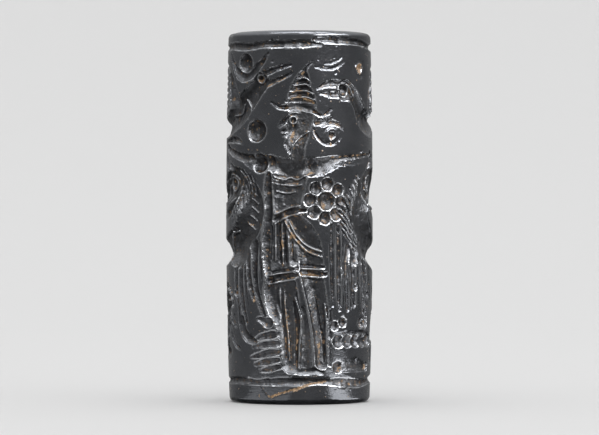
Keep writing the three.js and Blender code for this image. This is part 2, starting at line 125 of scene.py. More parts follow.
class Skin:
    # the stone's side laid flat, with the depth of every cut in it

    def __init__(self, turn, height, steps):
        self.turn, self.height = turn, height
        self.columns = self.rows = steps
        self.wide, self.tall = turn / self.columns, height / self.rows
        self.cuts = numpy.zeros((self.rows + 1, self.columns))
        self.touches = numpy.zeros_like(self.cuts)
        self.stain = numpy.zeros_like(self.cuts)

    def sweep(self, stations, bite, section):
        path = curveThrough(stations)
        reach = path[:, 2].max()
        low = path[:, :2].min(axis=0) - reach
        high = path[:, :2].max(axis=0) + reach
        columns = numpy.arange(math.floor((low[0] + self.turn / 2) / self.wide),
                               math.ceil((high[0] + self.turn / 2) / self.wide) + 1)
        rows = numpy.arange(max(0, math.floor(low[1] / self.tall)),
                            min(self.rows, math.ceil(high[1] / self.tall)) + 1)
        around, up = numpy.meshgrid(columns * self.wide - self.turn / 2, rows * self.tall)
        deepest = numpy.zeros(around.shape)
        for (x, y, width), (endX, endY, endWidth) in zip(path[:-1], path[1:]):
            runX, runY = endX - x, endY - y
            length = runX**2 + runY**2 or 1
            share = numpy.clip(((around - x) * runX + (up - y) * runY) / length, 0, 1)
            here = width + (endWidth - width) * share
            off = (around - x - runX * share) ** 2 + (up - y - runY * share) ** 2
            inside = numpy.clip(1 - off / here**2, 0, 1)
            deepest = numpy.maximum(deepest, bite(here) * inside**section)
        return numpy.ix_(rows, columns % self.columns), deepest

    def wheel(self, *stations, bite=1):
        widest = max(station[2] for station in stations)
        fine = min(1, tools["fineWidth"] / widest)
        section = tools["wheelSection"] + (tools["fineSection"] - tools["wheelSection"]) * fine
        place, depth = self.sweep(stations, wheelBite, section)
        self.cuts[place] += (depth * bite) ** tools["blend"]

    def drill(self, *stations, bite=1):
        for station in stations:
            place, depth = self.sweep([station, station], drillBite, tools["drillSection"])
            self.cuts[place] += (depth * bite) ** tools["blend"]

    def tubeDrill(self, around, up, radius, halfWidth, bite=1):
        self.wheel(*arc(around, up, radius, halfWidth, steps=tools["tubeSteps"]), bite=bite)

    def touch(self, stations, depth):
        # a fine line in a cut's floor: deeper where depth is above 0, left standing where it is below
        place, shape = self.sweep(stations, evenBite, 1)
        self.touches[place] += shape * depth

    def mark(self, stations, share, section):
        # rust kept along a stroke
        place, shape = self.sweep(stations, evenBite, section)
        self.stain[place] = numpy.maximum(self.stain[place], shape * share)

    def band(self, *stations, depth=0.1):
        # a roll that shows on a deep cut and beside it
        self.wheel(*stations)
        self.touch(stations, depth)

    def depth(self):
        deep = self.cuts ** (1 / tools["blend"])
        return numpy.maximum(deep + self.touches * numpy.clip(deep / tools["floorDepth"], 0, 1), 0)


def between(first, last, share):
    return tuple(a + (b - a) * share for a, b in zip(first, last))


def fan(skin, count, rootFirst, rootLast, tipFirst, tipLast):
    # feathers, from a line of roots to a line of tips
    for each in range(count):
        share = each / (count - 1)
        root, tip = between(rootFirst, rootLast, share), between(tipFirst, tipLast, share)
        middle = between(between(root, tip, 0.5), (root[0], tip[1], root[2]), tools["featherBow"])
        skin.wheel(root, middle, tip)


def placed(stations, around, up, stretch=1):
    # stations told from a spot, moved to it
    return [(around + x * stretch, up + y, width) for x, y, width in stations]


def row(skin, count, first, pitch, line, depth, roll=(), rollDepth=0):
    # the same fine line again and again, each with its roll where there is one
    for each in range(count):
        around, up = first[0] + pitch[0] * each, first[1] + pitch[1] * each
        if roll:
            skin.band(*placed(roll, around, up), depth=rollDepth)
        skin.touch(placed(line, around, up), depth)


def eye(skin, around, up, radius, lid=0.08):
    # a bead in a ring that is left standing
    skin.touch([(around, up, radius), (around, up, radius)], tools["eyeBead"])
    skin.touch(arc(around, up, radius + lid, lid), tools["eyeRing"])


def cut(skin, figure):
    # a figure is a dictionary from a tool to its named cuts
    for stations in figure.get("wheel", {}).values():
        skin.wheel(*stations)
    for stations in figure.get("band", {}).values():
        skin.band(*stations)
    for pits in figure.get("drill", {}).values():
        skin.drill(*pits)
    for stations in figure.get("line", {}).values():
        skin.touch(stations, tools["lineDepth"])
    for stations in figure.get("ridge", {}).values():
        skin.touch(stations, tools["ridgeDepth"])


# Each figure is a dictionary from a tool to its cuts, all in millimetres on the print.

master = {
    "wheel": {
        "hat": [(-0.13, 19.75, 1), (-0.1, 20.55, 0.7), (-0.2, 21.25, 0.46), (-0.3, 21.7, 0.2)],
        "point of the hat": [(-0.34, 21.75, 0.14), (-0.5, 22.1, 0.13), (-0.9, 22.46, 0.05)],
        "hat horn": [(0.85, 19.46, 0.18), (1.35, 19.48, 0.17), (1.9, 19.78, 0.06)],
        "hat horn behind": [(-2.2, 18.78, 0.08), (-1.75, 18.55, 0.19), (-1.12, 18.42, 0.2)],
        "ribbon": [(-2.2, 19.36, 0.05), (-1.85, 19.08, 0.13), (-1.55, 18.86, 0.08)],
        "skull": [(-0.1, 18.85, 0.84), (0.05, 18.3, 0.86), (0.28, 17.75, 0.66), (0.46, 17.4, 0.44)],
        "nose": [(0.75, 18.75, 0.2), (1.08, 18.47, 0.2), (1.3, 18.25, 0.14)],
        "upper lip": [(0.85, 17.91, 0.2), (1.1, 17.88, 0.12)],
        "lower lip": [(0.8, 17.63, 0.2), (1.04, 17.61, 0.12)],
        "beard": [(0.5, 17.35, 0.36), (0.72, 16.98, 0.27), (0.62, 16.5, 0.12)],
        "neck": [(-0.15, 17.6, 0.5), (0.05, 16.9, 0.42), (0.2, 16.1, 0.5)],
        "lock": [(-2.2, 17, 0.06), (-1.6, 17.12, 0.11), (-1.2, 17.5, 0.12), (-0.92, 17.95, 0.08)],
        "lock above": [(-3.05, 17.95, 0.06), (-2.75, 18.3, 0.16), (-2.1, 18.46, 0.2), (-1.5, 18.24, 0.08)],
        "trunk": [(0.6, 15.3, 0.9), (0.66, 14.9, 1.12), (0.84, 14.2, 1.2), (0.95, 13.5, 1.08),
            (0.98, 12.9, 1)],
        "rear shoulder": [(0.2, 15.5, 0.66), (-0.9, 15.55, 0.62)],
        "rear arm": [(-0.9, 15.55, 0.6), (-1.9, 15.86, 0.38), (-2.8, 16.1, 0.22), (-4.1, 16.22, 0.18),
            (-5.1, 16.32, 0.17), (-6.1, 16.42, 0.15)],
        "front arm": [(1.2, 15.55, 0.64), (2.2, 15.88, 0.5), (3.2, 16.06, 0.32), (4.2, 16.2, 0.28),
            (5.3, 16.48, 0.25), (6.15, 16.78, 0.2)],
        "kilt behind": [(0.5, 12.1, 0.6), (0, 11.3, 0.92), (-0.4, 10.3, 1.06), (-0.55, 9.35, 1.04)],
        "kilt front": [(1.45, 12.2, 0.6), (1.42, 10.8, 0.84), (1.38, 9.45, 0.98)],
        "beside the rear leg": [(-2.1, 6.2, 0.08), (-2.14, 4.6, 0.18), (-2.1, 2.6, 0.12)],
        "kilt leaf": [(0.6, 12, 0.2), (0.1, 11.55, 0.42), (-0.6, 10.95, 0.5), (-1.3, 10.2, 0.22)],
        "rear leg": [(-0.8, 8.4, 0.78), (-1.05, 7.1, 0.76), (-1.35, 5.5, 0.67), (-1.5, 4, 0.56),
            (-1.54, 2.75, 0.48)],
        "front leg": [(1.25, 8.4, 1), (1.12, 7.1, 1.04), (0.82, 5.7, 0.96), (0.55, 4.2, 0.84),
            (0.5, 2.75, 0.76)],
        "rear foot": [(-1.55, 2.12, 0.17), (-0.9, 2.22, 0.28), (0, 2.2, 0.24), (0.5, 2.3, 0.14)],
        "front foot": [(0.3, 2.5, 0.14), (0.7, 2.4, 0.24), (1.2, 2.55, 0.14)],
        "plume low": [(-3.25, 22.5, 0.03), (-2.8, 22.2, 0.07), (-2.2, 21.98, 0.09), (-1.7, 21.98, 0.07),
            (-1, 22.06, 0.03)],
        "plume high": [(-3.1, 22.78, 0.03), (-2.6, 22.5, 0.06), (-2.1, 22.32, 0.06), (-1.7, 22.3, 0.03)],
    },
    "band": {
        "brim": [(-1.4, 18.95, 0.12), (-0.75, 19.28, 0.2), (0.15, 19.5, 0.22), (0.95, 19.44, 0.18)],
        "belt": [(-0.4, 12.72, 0.13), (0.3, 12.7, 0.19), (1, 12.52, 0.19), (1.8, 12.1, 0.12)],
        "rear hem above": [(-1.6, 9.04, 0.13), (-0.8, 9.08, 0.16), (-0.12, 9.1, 0.14)],
        "rear hem below": [(-1.75, 8.54, 0.15), (-0.8, 8.62, 0.2), (-0.12, 8.68, 0.17)],
        "front hem above": [(0.14, 8.94, 0.13), (1, 8.84, 0.16), (1.95, 8.68, 0.13)],
        "front hem below": [(0.14, 8.5, 0.16), (1.1, 8.38, 0.2), (2.2, 8.16, 0.15)],
    },
    "drill": {
        "middle of the curl": [(-2.2, 17.64, 0.22)],
        "hands": [(-6.2, 16.44, 0.27), (6.32, 16.88, 0.27)],
        "front shoulder": [(2.3, 15.82, 0.5), (2.85, 15.9, 0.56)],
        "rear shoulder": [(-0.75, 15.45, 0.55)],
        "rib bead": [(0.9, 14.1, 0.13)],
        "elbow bead": [(-4.8, 16.6, 0.12)],
        "ankle bead": [(1.35, 4, 0.12)],
    },
    "line": {
        "chest": [(0, 15.3, 0.3), (0.65, 15, 0.4), (1.3, 15.3, 0.3)],
        "cheek": [(0.4, 18.1, 0.3), (0.5, 17.95, 0.3)],
        "fold": [(1.95, 11.7, 0.07), (1.98, 10.6, 0.1), (2.05, 9.5, 0.08)],
        "second fold": [(1.42, 12, 0.06), (1.42, 10.6, 0.08), (1.4, 9.3, 0.06)],
        "third fold": [(1, 11.4, 0.05), (0.98, 10.4, 0.08), (0.95, 9.3, 0.06)],
        "fourth fold": [(0.5, 10.6, 0.05), (0.48, 10, 0.07), (0.45, 9.4, 0.05)],
        "front shin": [(1.3, 7.6, 0.06), (1.24, 5.8, 0.09), (1, 4.2, 0.08), (0.95, 2.9, 0.06)],
        "deep of the front leg": [(0.42, 6.8, 0.06), (0.24, 5.6, 0.12), (0.2, 4.2, 0.14), (0.22, 2.7, 0.1)],
        "rear shin": [(-1.2, 6.8, 0.06), (-1.45, 5.4, 0.1), (-1.72, 4.2, 0.1), (-1.76, 2.8, 0.07)],
        "front calf": [(1.62, 7.8, 0.15), (1.6, 6.8, 0.2), (1.35, 6, 0.12)],
    },
    "ridge": {
        "under the belt": [(-0.3, 12.46, 0.06), (0.4, 12.42, 0.08), (1, 12.22, 0.08), (1.7, 11.84, 0.06)],
        "over the belt": [(-0.2, 12.98, 0.06), (0.6, 12.92, 0.08), (1.7, 12.46, 0.07)],
        "kilt edge": [(0.72, 12, 0.06), (0.22, 11.1, 0.08), (-0.5, 10.42, 0.1), (-1.5, 10, 0.08)],
        "kilt edge below": [(0.98, 12, 0.06), (0.5, 11.1, 0.08), (0, 10.52, 0.09), (-0.6, 10.02, 0.09),
            (-1.5, 9.66, 0.07)],
        "first pleat": [(1.68, 11.8, 0.06), (1.7, 10.7, 0.08), (1.72, 9.4, 0.06)],
        "second pleat": [(1.2, 11.8, 0.06), (1.2, 10.7, 0.09), (1.14, 9.2, 0.07)],
        "third pleat": [(0.74, 11, 0.05), (0.72, 10.2, 0.07), (0.7, 9.3, 0.05)],
        "in the rear hem": [(-1.75, 8.84, 0.06), (-0.9, 8.88, 0.08), (-0.1, 8.92, 0.07)],
        "in the front hem": [(0.1, 8.74, 0.06), (1.2, 8.62, 0.08), (2.1, 8.46, 0.06)],
        "hem slit": [(0.02, 9.35, 0.06), (0, 8.2, 0.09)],
        "under the rear hem": [(-1.8, 8.28, 0.07), (-0.9, 8.36, 0.1), (-0.1, 8.42, 0.08)],
        "under the front hem": [(0.1, 8.24, 0.07), (1, 8.12, 0.1), (2.2, 7.88, 0.08)],
        "between the legs": [(-0.02, 8.3, 0.1), (-0.3, 7.2, 0.12), (-0.62, 5.8, 0.13), (-0.86, 4.2, 0.13),
            (-0.94, 2.7, 0.11)],
        "front leg edge": [(0.3, 7, 0.05), (0.04, 6.2, 0.08), (-0.1, 5.4, 0.09), (-0.02, 4.2, 0.09),
            (0.08, 2.4, 0.06)],
        "gold shin": [(1.08, 7.4, 0.05), (0.98, 6, 0.08), (0.78, 4.4, 0.08), (0.7, 2.9, 0.06)],
        "rear leg edge": [(-1.72, 6.6, 0.05), (-1.86, 5.4, 0.07), (-1.92, 3.2, 0.06)],
        "breast": [(-0.4, 15, 0.06), (0.15, 14.72, 0.08), (0.65, 14.85, 0.07), (1.2, 14.7, 0.08),
            (1.75, 14.95, 0.06)],
        "upper rib": [(-0.1, 14.4, 0.06), (0.5, 14.34, 0.08), (1.3, 14.4, 0.06)],
        "lower rib": [(0.3, 13.92, 0.05), (0.95, 13.84, 0.07), (1.6, 13.96, 0.05)],
        "jaw": [(-0.6, 17.85, 0.06), (-0.05, 17.5, 0.08), (0.35, 17.05, 0.06)],
        "brow": [(0, 19.05, 0.05), (0.4, 19.11, 0.07), (0.8, 18.95, 0.05)],
    },
}


# slopes round the man: (stations, bite)
masterSlopes = {
    "steep side of the trunk": (
        [(2.1, 15.1, 0.2), (2.12, 14, 0.31), (2.1, 12.4, 0.35), (2.2, 10.6, 0.4), (2.22, 9.3, 0.32),
         (2.1, 8.4, 0.2)], 1.5),
    "steep side of the front leg": (
        [(1.98, 8.3, 0.34), (1.92, 7.5, 0.56), (1.8, 6.6, 0.58), (1.62, 5.8, 0.42), (1.42, 5.3, 0.14)], 1.5),
    "where the kilt's halves meet": ([(0.62, 11.4, 0.3), (0.5, 10.6, 0.45), (0.42, 9.5, 0.5)], 1.25),
    "under the rear shoulder": ([(-0.5, 15.25, 0.4), (-1.4, 15.45, 0.46), (-2.4, 15.72, 0.3)], 0.5),
    "under the rear arm": ([(-2.2, 15.86, 0.3), (-3.8, 16.0, 0.34), (-5.6, 16.22, 0.3)], 0.3),
    "under the front arm": ([(1.9, 15.66, 0.5), (2.9, 15.72, 0.5), (3.8, 16.0, 0.36)], 0.5),
    "up to the ridge between the legs": ([(-0.3, 6.2, 0.3), (-0.42, 4.6, 0.46), (-0.42, 2.5, 0.48)], 0.66),
}

hatRolls = dict(
    count=4,
    around=-0.1,
    up=19.92,
    half=1.0,
    shift=0.05,
    pitch=0.42,
    narrowing=0.2,
    roll=[(-1, -0.26, 0.07), (-0.3, -0.02, 0.13), (1, -0.1, 0.08)],  # around in half widths
    rollDepth=0.06,
    edge=[(-1, -0.05, 0.05), (-0.3, 0.19, 0.07), (1, 0.1, 0.05)],
    edgeDepth=-0.15,
)
beard = dict(hairs=4, top=(0.2, 17.5), tip=(0.42, 16.85), spread=(0.15, 0.1), fall=(0.03, 0.06),
             widths=(0.04, 0.05), depth=-0.07)
# what the drill has left in the chest
chestMarks = dict(count=3, first=(0, 14.95), pitch=(0, -0.22), depth=0.07,
                  line=[(1.9, 0.1, 0.05), (1.45, 0, 0.06), (1.1, -0.04, 0.05)])
shoulderPits = [(1.98, 15.92, 0.42), (2.75, 15.72, 0.56)]
shoulderBite, curlBite = 1.65, 0.35


def carveMaster(skin):
    cut(skin, master)
    for stations, bite in masterSlopes.values():
        skin.wheel(*stations, bite=bite)
    skin.tubeDrill(-2.2, 17.65, 0.58, 0.13, bite=curlBite)
    skin.drill(*shoulderPits, bite=shoulderBite)
    eye(skin, 0.42, 18.61, 0.17, lid=0.07)
    # rolls of the tall hat, each narrower than the one below
    for roll in range(hatRolls["count"]):
        middle = hatRolls["around"] - hatRolls["shift"] * roll
        height = hatRolls["up"] + hatRolls["pitch"] * roll
        half = hatRolls["half"] - hatRolls["narrowing"] * roll
        skin.band(*placed(hatRolls["roll"], middle, height, half), depth=hatRolls["rollDepth"])
        skin.touch(placed(hatRolls["edge"], middle, height, half), hatRolls["edgeDepth"])
    for hair in range(beard["hairs"]):
        ends = zip((beard["top"], beard["tip"]), beard["spread"], beard["fall"], beard["widths"])
        skin.touch([(x + spread * hair, y - fall * hair, width) for (x, y), spread, fall, width in ends],
                   beard["depth"])
    row(skin, **chestMarks)


leftLion = {
    "wheel": {
        "neck": [(-5.9, 14.3, 1.15), (-5.2, 13.6, 1.2), (-4.85, 12.7, 1.2), (-5.1, 11.6, 1.2),
            (-5.9, 10.6, 1.15)],
        "body": [(-5.6, 10.6, 1.15), (-6.6, 10.05, 1.08), (-7.8, 9.6, 0.98), (-8.8, 9.25, 0.95),
            (-9.7, 8.9, 1.02)],
        "breast": [(-5.1, 11, 1), (-4.5, 10.3, 0.75), (-4.2, 9.6, 0.5)],
        "crown": [(-8.1, 14.35, 0.45), (-7.2, 14.75, 0.85), (-6.3, 14.6, 0.95)],
        "skull": [(-6.5, 14.2, 1.15), (-7.2, 14.05, 1.25), (-7.8, 13.6, 1), (-8.3, 13.2, 0.72),
            (-8.6, 13, 0.5)],
        "forehead": [(-8.1, 14.6, 0.3), (-8.55, 14, 0.4), (-8.75, 13.4, 0.4)],
        "lower muzzle": [(-8.5, 12.8, 0.36), (-8.1, 12.5, 0.34)],
        "jaw": [(-6.5, 13.3, 0.5), (-7.1, 12.78, 0.42), (-7.6, 12.5, 0.3)],
        "ear": [(-5.75, 15.3, 0.34), (-6.15, 15.75, 0.28), (-6.6, 16.4, 0.09)],
        "haunch": [(-9.7, 8.9, 1.02), (-9.95, 8, 0.98), (-10.15, 7.1, 0.78), (-10.45, 6.2, 0.52),
            (-10.8, 5.4, 0.33), (-11.45, 4.8, 0.2)],
        "near shank": [(-10.75, 5.5, 0.32), (-11.02, 4.7, 0.27), (-11.15, 3.6, 0.25), (-11.05, 2.5, 0.24)],
        "far thigh": [(-10.4, 8.3, 0.55), (-11.15, 7.2, 0.38), (-11.95, 6.5, 0.3), (-12.72, 6.08, 0.26)],
        "far hamstring": [(-11.3, 6.4, 0.22), (-12, 5.85, 0.24), (-12.55, 5.5, 0.24)],
        "far shank": [(-12.62, 5.95, 0.25), (-12.8, 5, 0.28), (-13, 4, 0.28), (-13.12, 2.9, 0.26)],
        "near foreleg": [(-5, 10.1, 0.42), (-5.2, 9.2, 0.24), (-5.4, 7.9, 0.21), (-5.56, 6.3, 0.18),
            (-5.45, 5.6, 0.2)],
        "near sinew": [(-4.65, 10, 0.4), (-4.85, 9, 0.23), (-5.02, 7.6, 0.2), (-5.18, 6, 0.17)],
        "far foreleg": [(-4.1, 10, 0.45), (-3.92, 9.2, 0.25), (-3.98, 8, 0.22), (-4.06, 6.5, 0.18)],
        "far sinew": [(-3.6, 10.2, 0.4), (-3.34, 9.3, 0.25), (-3.36, 7.9, 0.21), (-3.44, 6.2, 0.17)],
        "strand by the stem": [(-3.05, 11.4, 0.05), (-3.04, 9.4, 0.12), (-3.08, 7.8, 0.11),
            (-3.12, 6.4, 0.05)],
        "strand between": [(-3.72, 9.8, 0.06), (-3.68, 8.6, 0.13), (-3.74, 7.2, 0.11), (-3.78, 6, 0.05)],
        "thin strand": [(-4.42, 10, 0.08), (-4.44, 8.8, 0.13), (-4.56, 7.4, 0.12), (-4.66, 5.9, 0.05)],
        "outer strand": [(-5.9, 9.4, 0.06), (-6.05, 8.2, 0.12), (-6.15, 6.8, 0.06)],
        "tail": [(-9.7, 9.75, 0.32), (-10.5, 10.2, 0.24), (-11.3, 10.85, 0.22), (-11.85, 11.75, 0.22),
            (-11.75, 12.7, 0.22), (-11.05, 13.4, 0.22), (-10.1, 13.45, 0.22), (-9.35, 12.9, 0.21),
            (-9.15, 12.1, 0.2), (-9.6, 11.55, 0.2)],
    },
    "drill": {
        "nostril": [(-8.98, 13.15, 0.24)],
        "near paw": [(-11, 2.25, 0.3), (-10.38, 2.3, 0.34), (-9.92, 2.34, 0.32)],
        "far paw": [(-13.05, 2.6, 0.3), (-12.42, 2.45, 0.38)],
        "fore paws": [(-5.4, 5.25, 0.34), (-4.8, 5.28, 0.34), (-3.05, 5.38, 0.33), (-2.42, 5.15, 0.33)],
        "dew claws": [(-5.82, 7.15, 0.2), (-4.25, 7.65, 0.2)],
        "tail tuft": [(-9.72, 11.6, 0.24)],
        "bead in the tail": [(-10.58, 12.14, 0.32)],
    },
    "line": {
        "cheek": [(-6.4, 13.5, 0.4), (-5.9, 13.9, 0.45)],
        "flank": [(-8.2, 9.2, 0.3), (-7.2, 9.5, 0.4), (-6.2, 9.9, 0.35)],
        "thigh muscle": [(-9.6, 8.6, 0.35), (-9.8, 7.8, 0.4), (-10.1, 7, 0.25)],
    },
    "ridge": {
        "mouth": [(-6.9, 13.05, 0.08), (-7.5, 12.86, 0.13), (-8.1, 12.86, 0.12), (-8.8, 12.8, 0.07)],
        "jowl": [(-5.6, 14.5, 0.08), (-5.7, 13.7, 0.11), (-6.2, 12.95, 0.13), (-6.9, 12.4, 0.12)],
        "lower lid": [(-7.75, 14.05, 0.05), (-7.15, 13.82, 0.07), (-6.5, 14.1, 0.05)],
        "belly fold": [(-8.9, 8.9, 0.07), (-8.4, 8.65, 0.08), (-7.8, 8.85, 0.06)],
        "hip": [(-9.1, 9.6, 0.06), (-9, 8.9, 0.08), (-9.2, 8.2, 0.06)],
        "brow": [(-7.95, 14.6, 0.06), (-7.4, 15.05, 0.09), (-6.5, 14.85, 0.06)],
        "muzzle fold": [(-8.3, 13.75, 0.06), (-8.1, 13.35, 0.08), (-8.25, 13, 0.05)],
    },
}


# short locks at the left lion's nape, and those behind the right lion's cheek
napeLocks = dict(
    count=6, first=(-4.6, 14.55), pitch=(0.23, -0.32), depth=-0.14, rollDepth=0.08,
    line=[(0.3, 0.1, 0.05), (-0.16, -0.85, 0.07)],
    roll=[(0.36, 0.5, 0.07), (0, 0, 0.15), (-0.3, -0.6, 0.07)],
)
cheekLocks = dict(
    count=6, first=(4.28, 14), pitch=(0.24, -0.38), depth=-0.15, rollDepth=0.09,
    line=[(0.36, -0.02, 0.05), (0.08, -0.8, 0.07)],
    roll=[(0.26, 0.48, 0.07), (0, 0, 0.15), (-0.14, -0.6, 0.07)],
)
mane = dict(
    longLocks=5,
    tufts=6,
    cheekArcs=[(1.5, 2.2, 3.5), (1.9, 2.3, 3.4), (2.3, 2.45, 3.3)],  # radius, from and to in radians
)


def carveLeftLion(skin):
    cut(skin, leftLion)
    eye(skin, -7.15, 14.42, 0.36, lid=0.1)
    row(skin, **napeLocks)
    # long locks over the breast
    for lock in range(mane["longLocks"]):
        around, up = -2.75 - 0.06 * lock, 13.1 - 0.42 * lock
        reach = 2.2 - 0.2 * lock
        skin.band((around, up, 0.09), (around - reach * 0.5, up - reach * 0.44, 0.19),
                  (around - reach, up - reach * 0.94, 0.1), depth=0.12)
        skin.touch([(around - 0.3, up - 0.5, 0.05), (around - reach * 0.6, up - reach * 0.6 - 0.22, 0.08),
                    (around - reach, up - reach * 0.94 - 0.24, 0.06)], -0.14)


rightLion = {
    "wheel": {
        "neck": [(5.2, 14.5, 1.15), (4.4, 14.1, 1.3), (3.72, 13.2, 1.25), (3.66, 12.2, 1.18),
            (4.1, 11.3, 1.15)],
        "body": [(4.5, 10.9, 1.2), (5.5, 10.4, 1.1), (6.8, 10.05, 0.95), (8.3, 9.8, 0.85),
            (9.5, 9.35, 0.92)],
        "shoulder": [(5.1, 10.2, 1.15), (4.9, 10, 1.15)],
        "skull": [(5.4, 14.4, 1.05), (6.1, 14.35, 1.05), (6.8, 14.05, 0.82), (7.4, 13.85, 0.62),
            (7.85, 13.65, 0.4)],
        "muzzle front": [(7.75, 13.9, 0.34), (7.8, 13.3, 0.32), (7.5, 12.6, 0.26)],
        "jaw": [(5.7, 13.4, 0.7), (6.3, 12.6, 0.42), (6.9, 12.35, 0.34), (7.35, 12.45, 0.26)],
        "ear": [(5.2, 15.2, 0.34), (6, 15.75, 0.26), (6.62, 16.3, 0.09)],
        "far ear": [(6.35, 15.5, 0.22), (6.65, 15.95, 0.2), (6.98, 16.5, 0.08)],
        "haunch": [(9.5, 9.35, 0.92), (9.7, 8.3, 1), (10, 7.2, 0.8), (10.5, 6.2, 0.52), (11, 5.5, 0.34),
            (11.7, 5.15, 0.2)],
        "near shank": [(11.1, 5.4, 0.3), (11.38, 4.6, 0.29), (11.3, 3.7, 0.29), (11.05, 2.9, 0.28)],
        "near foot": [(10.95, 2.8, 0.3), (10.4, 2.5, 0.36), (9.7, 2.15, 0.14)],
        "far thigh": [(10.7, 8.6, 0.42), (11.3, 7.4, 0.33), (12, 6.7, 0.28), (12.75, 6.1, 0.25)],
        "far hamstring": [(11, 7, 0.2), (11.6, 6.5, 0.22), (12.3, 6.05, 0.2)],
        "far shank": [(12.75, 5.9, 0.25), (12.85, 4.8, 0.27), (12.85, 3.6, 0.27), (12.7, 2.8, 0.27)],
        "far foot": [(12.6, 2.7, 0.27), (12.1, 2.45, 0.3), (11.55, 2.1, 0.13)],
        "near foreleg": [(3.3, 10.5, 0.5), (3.15, 9.4, 0.25), (3.12, 8.2, 0.22), (2.88, 7, 0.2),
            (2.42, 5.8, 0.17)],
        "near sinew": [(3.9, 10, 0.4), (3.72, 8.9, 0.22), (3.55, 7.9, 0.19), (3.25, 6.9, 0.12)],
        "far foreleg": [(4.5, 10.2, 0.4), (4.46, 9, 0.25), (4.44, 7.6, 0.22), (4.22, 6.3, 0.2),
            (3.98, 5.4, 0.2)],
        "thin strand": [(4.08, 9.8, 0.08), (4.06, 8.6, 0.13), (3.92, 7.4, 0.1), (3.7, 6.4, 0.05)],
        "front strand": [(2.72, 10.6, 0.06), (2.66, 9.4, 0.12), (2.6, 8.2, 0.06)],
        "far sinew": [(5.05, 9.8, 0.4), (5.02, 8.6, 0.22), (4.98, 7.4, 0.18), (4.8, 6.5, 0.1)],
        "near paw": [(2.2, 5.42, 0.36), (2.9, 5.62, 0.16)],
        "far paw": [(4.42, 5.6, 0.24), (4.2, 4.75, 0.32), (3.8, 4.35, 0.34), (3.2, 4.12, 0.2)],
        "outer edge of the paw": [(4.75, 6.4, 0.1), (4.62, 5.5, 0.16), (4.36, 4.72, 0.17),
            (3.95, 4.28, 0.1)],
        "tail": [(9.4, 10.3, 0.32), (10.15, 10.95, 0.25), (10.68, 11.75, 0.23), (10.65, 12.55, 0.22),
            (10, 13.08, 0.21), (9.25, 13, 0.2), (8.65, 12.35, 0.13)],
    },
    "drill": {
        "paw": [(2.15, 5.38, 0.37)],
        "dew claws": [(3.52, 7.72, 0.22), (5.1, 7.3, 0.18)],
        "hocks": [(12.8, 6.02, 0.27)],
        "hind toes": [(10.5, 2.28, 0.34), (12.78, 2.35, 0.3)],
        "tail tuft": [(8.62, 12.3, 0.2)],
        "bead in the tail": [(9.2, 11.8, 0.32)],
        "beads": [(2.44, 9.8, 0.22), (3, 9.46, 0.14), (11.3, 11.78, 0.16), (7.34, 14.8, 0.24)],
    },
    "line": {
        "cheek": [(5.5, 13.4, 0.4), (5.8, 13.6, 0.4)],
        "shoulder": [(4.5, 10.7, 0.5), (5.1, 10, 0.7)],
        "flank": [(6.4, 9.9, 0.3), (7.4, 9.8, 0.4), (8.4, 9.6, 0.3)],
        "thigh muscle": [(9.5, 8.9, 0.35), (9.7, 8, 0.45), (10, 7.2, 0.3)],
    },
    "ridge": {
        "mouth": [(5.9, 13.5, 0.1), (6.3, 13.12, 0.17), (6.8, 12.8, 0.18), (7.5, 12.78, 0.1)],
        "jowl": [(4.95, 14.3, 0.08), (5, 13.6, 0.11), (5.3, 12.9, 0.12), (5.9, 12.2, 0.12)],
        "shoulder edge": [(5, 11.35, 0.07), (5.9, 11.1, 0.09), (6.3, 10.3, 0.1), (6, 9.3, 0.08),
            (5.2, 8.95, 0.06)],
        "hip": [(9, 10.1, 0.06), (8.8, 9.4, 0.08), (9, 8.6, 0.06)],
        "brow": [(5.3, 14.75, 0.06), (6, 15.1, 0.09), (6.75, 14.75, 0.06)],
        "muzzle": [(6.85, 14.4, 0.06), (7.15, 13.95, 0.08), (7.1, 13.4, 0.06)],
    },
}


def carveRightLion(skin):
    cut(skin, rightLion)
    eye(skin, 6.02, 14.45, 0.36, lid=0.1)
    row(skin, **cheekLocks)
    for reach, first, last in mane["cheekArcs"]:
        skin.touch(arc(5.5, 14.1, reach, 0.07, first, last, steps=6), tools["ridgeDepth"])
    # the ragged back of the mane
    for tuft in range(mane["tufts"]):
        lean = 0.25 * (tuft - 2)
        around, up = 3.1 - 0.14 * tuft + 0.035 * tuft**2, 14.75 - 0.56 * tuft
        skin.wheel((around + 0.6, up + 0.1, 0.3), (around + 0.05, up - 0.14 - 0.1 * lean, 0.17),
                   (around - 0.3, up - 0.42 - 0.12 * lean, 0.05), bite=0.5)
        skin.touch([(around + 0.8, up - 0.12, 0.06), (around + 0.12, up - 0.5, 0.07)], -0.08)


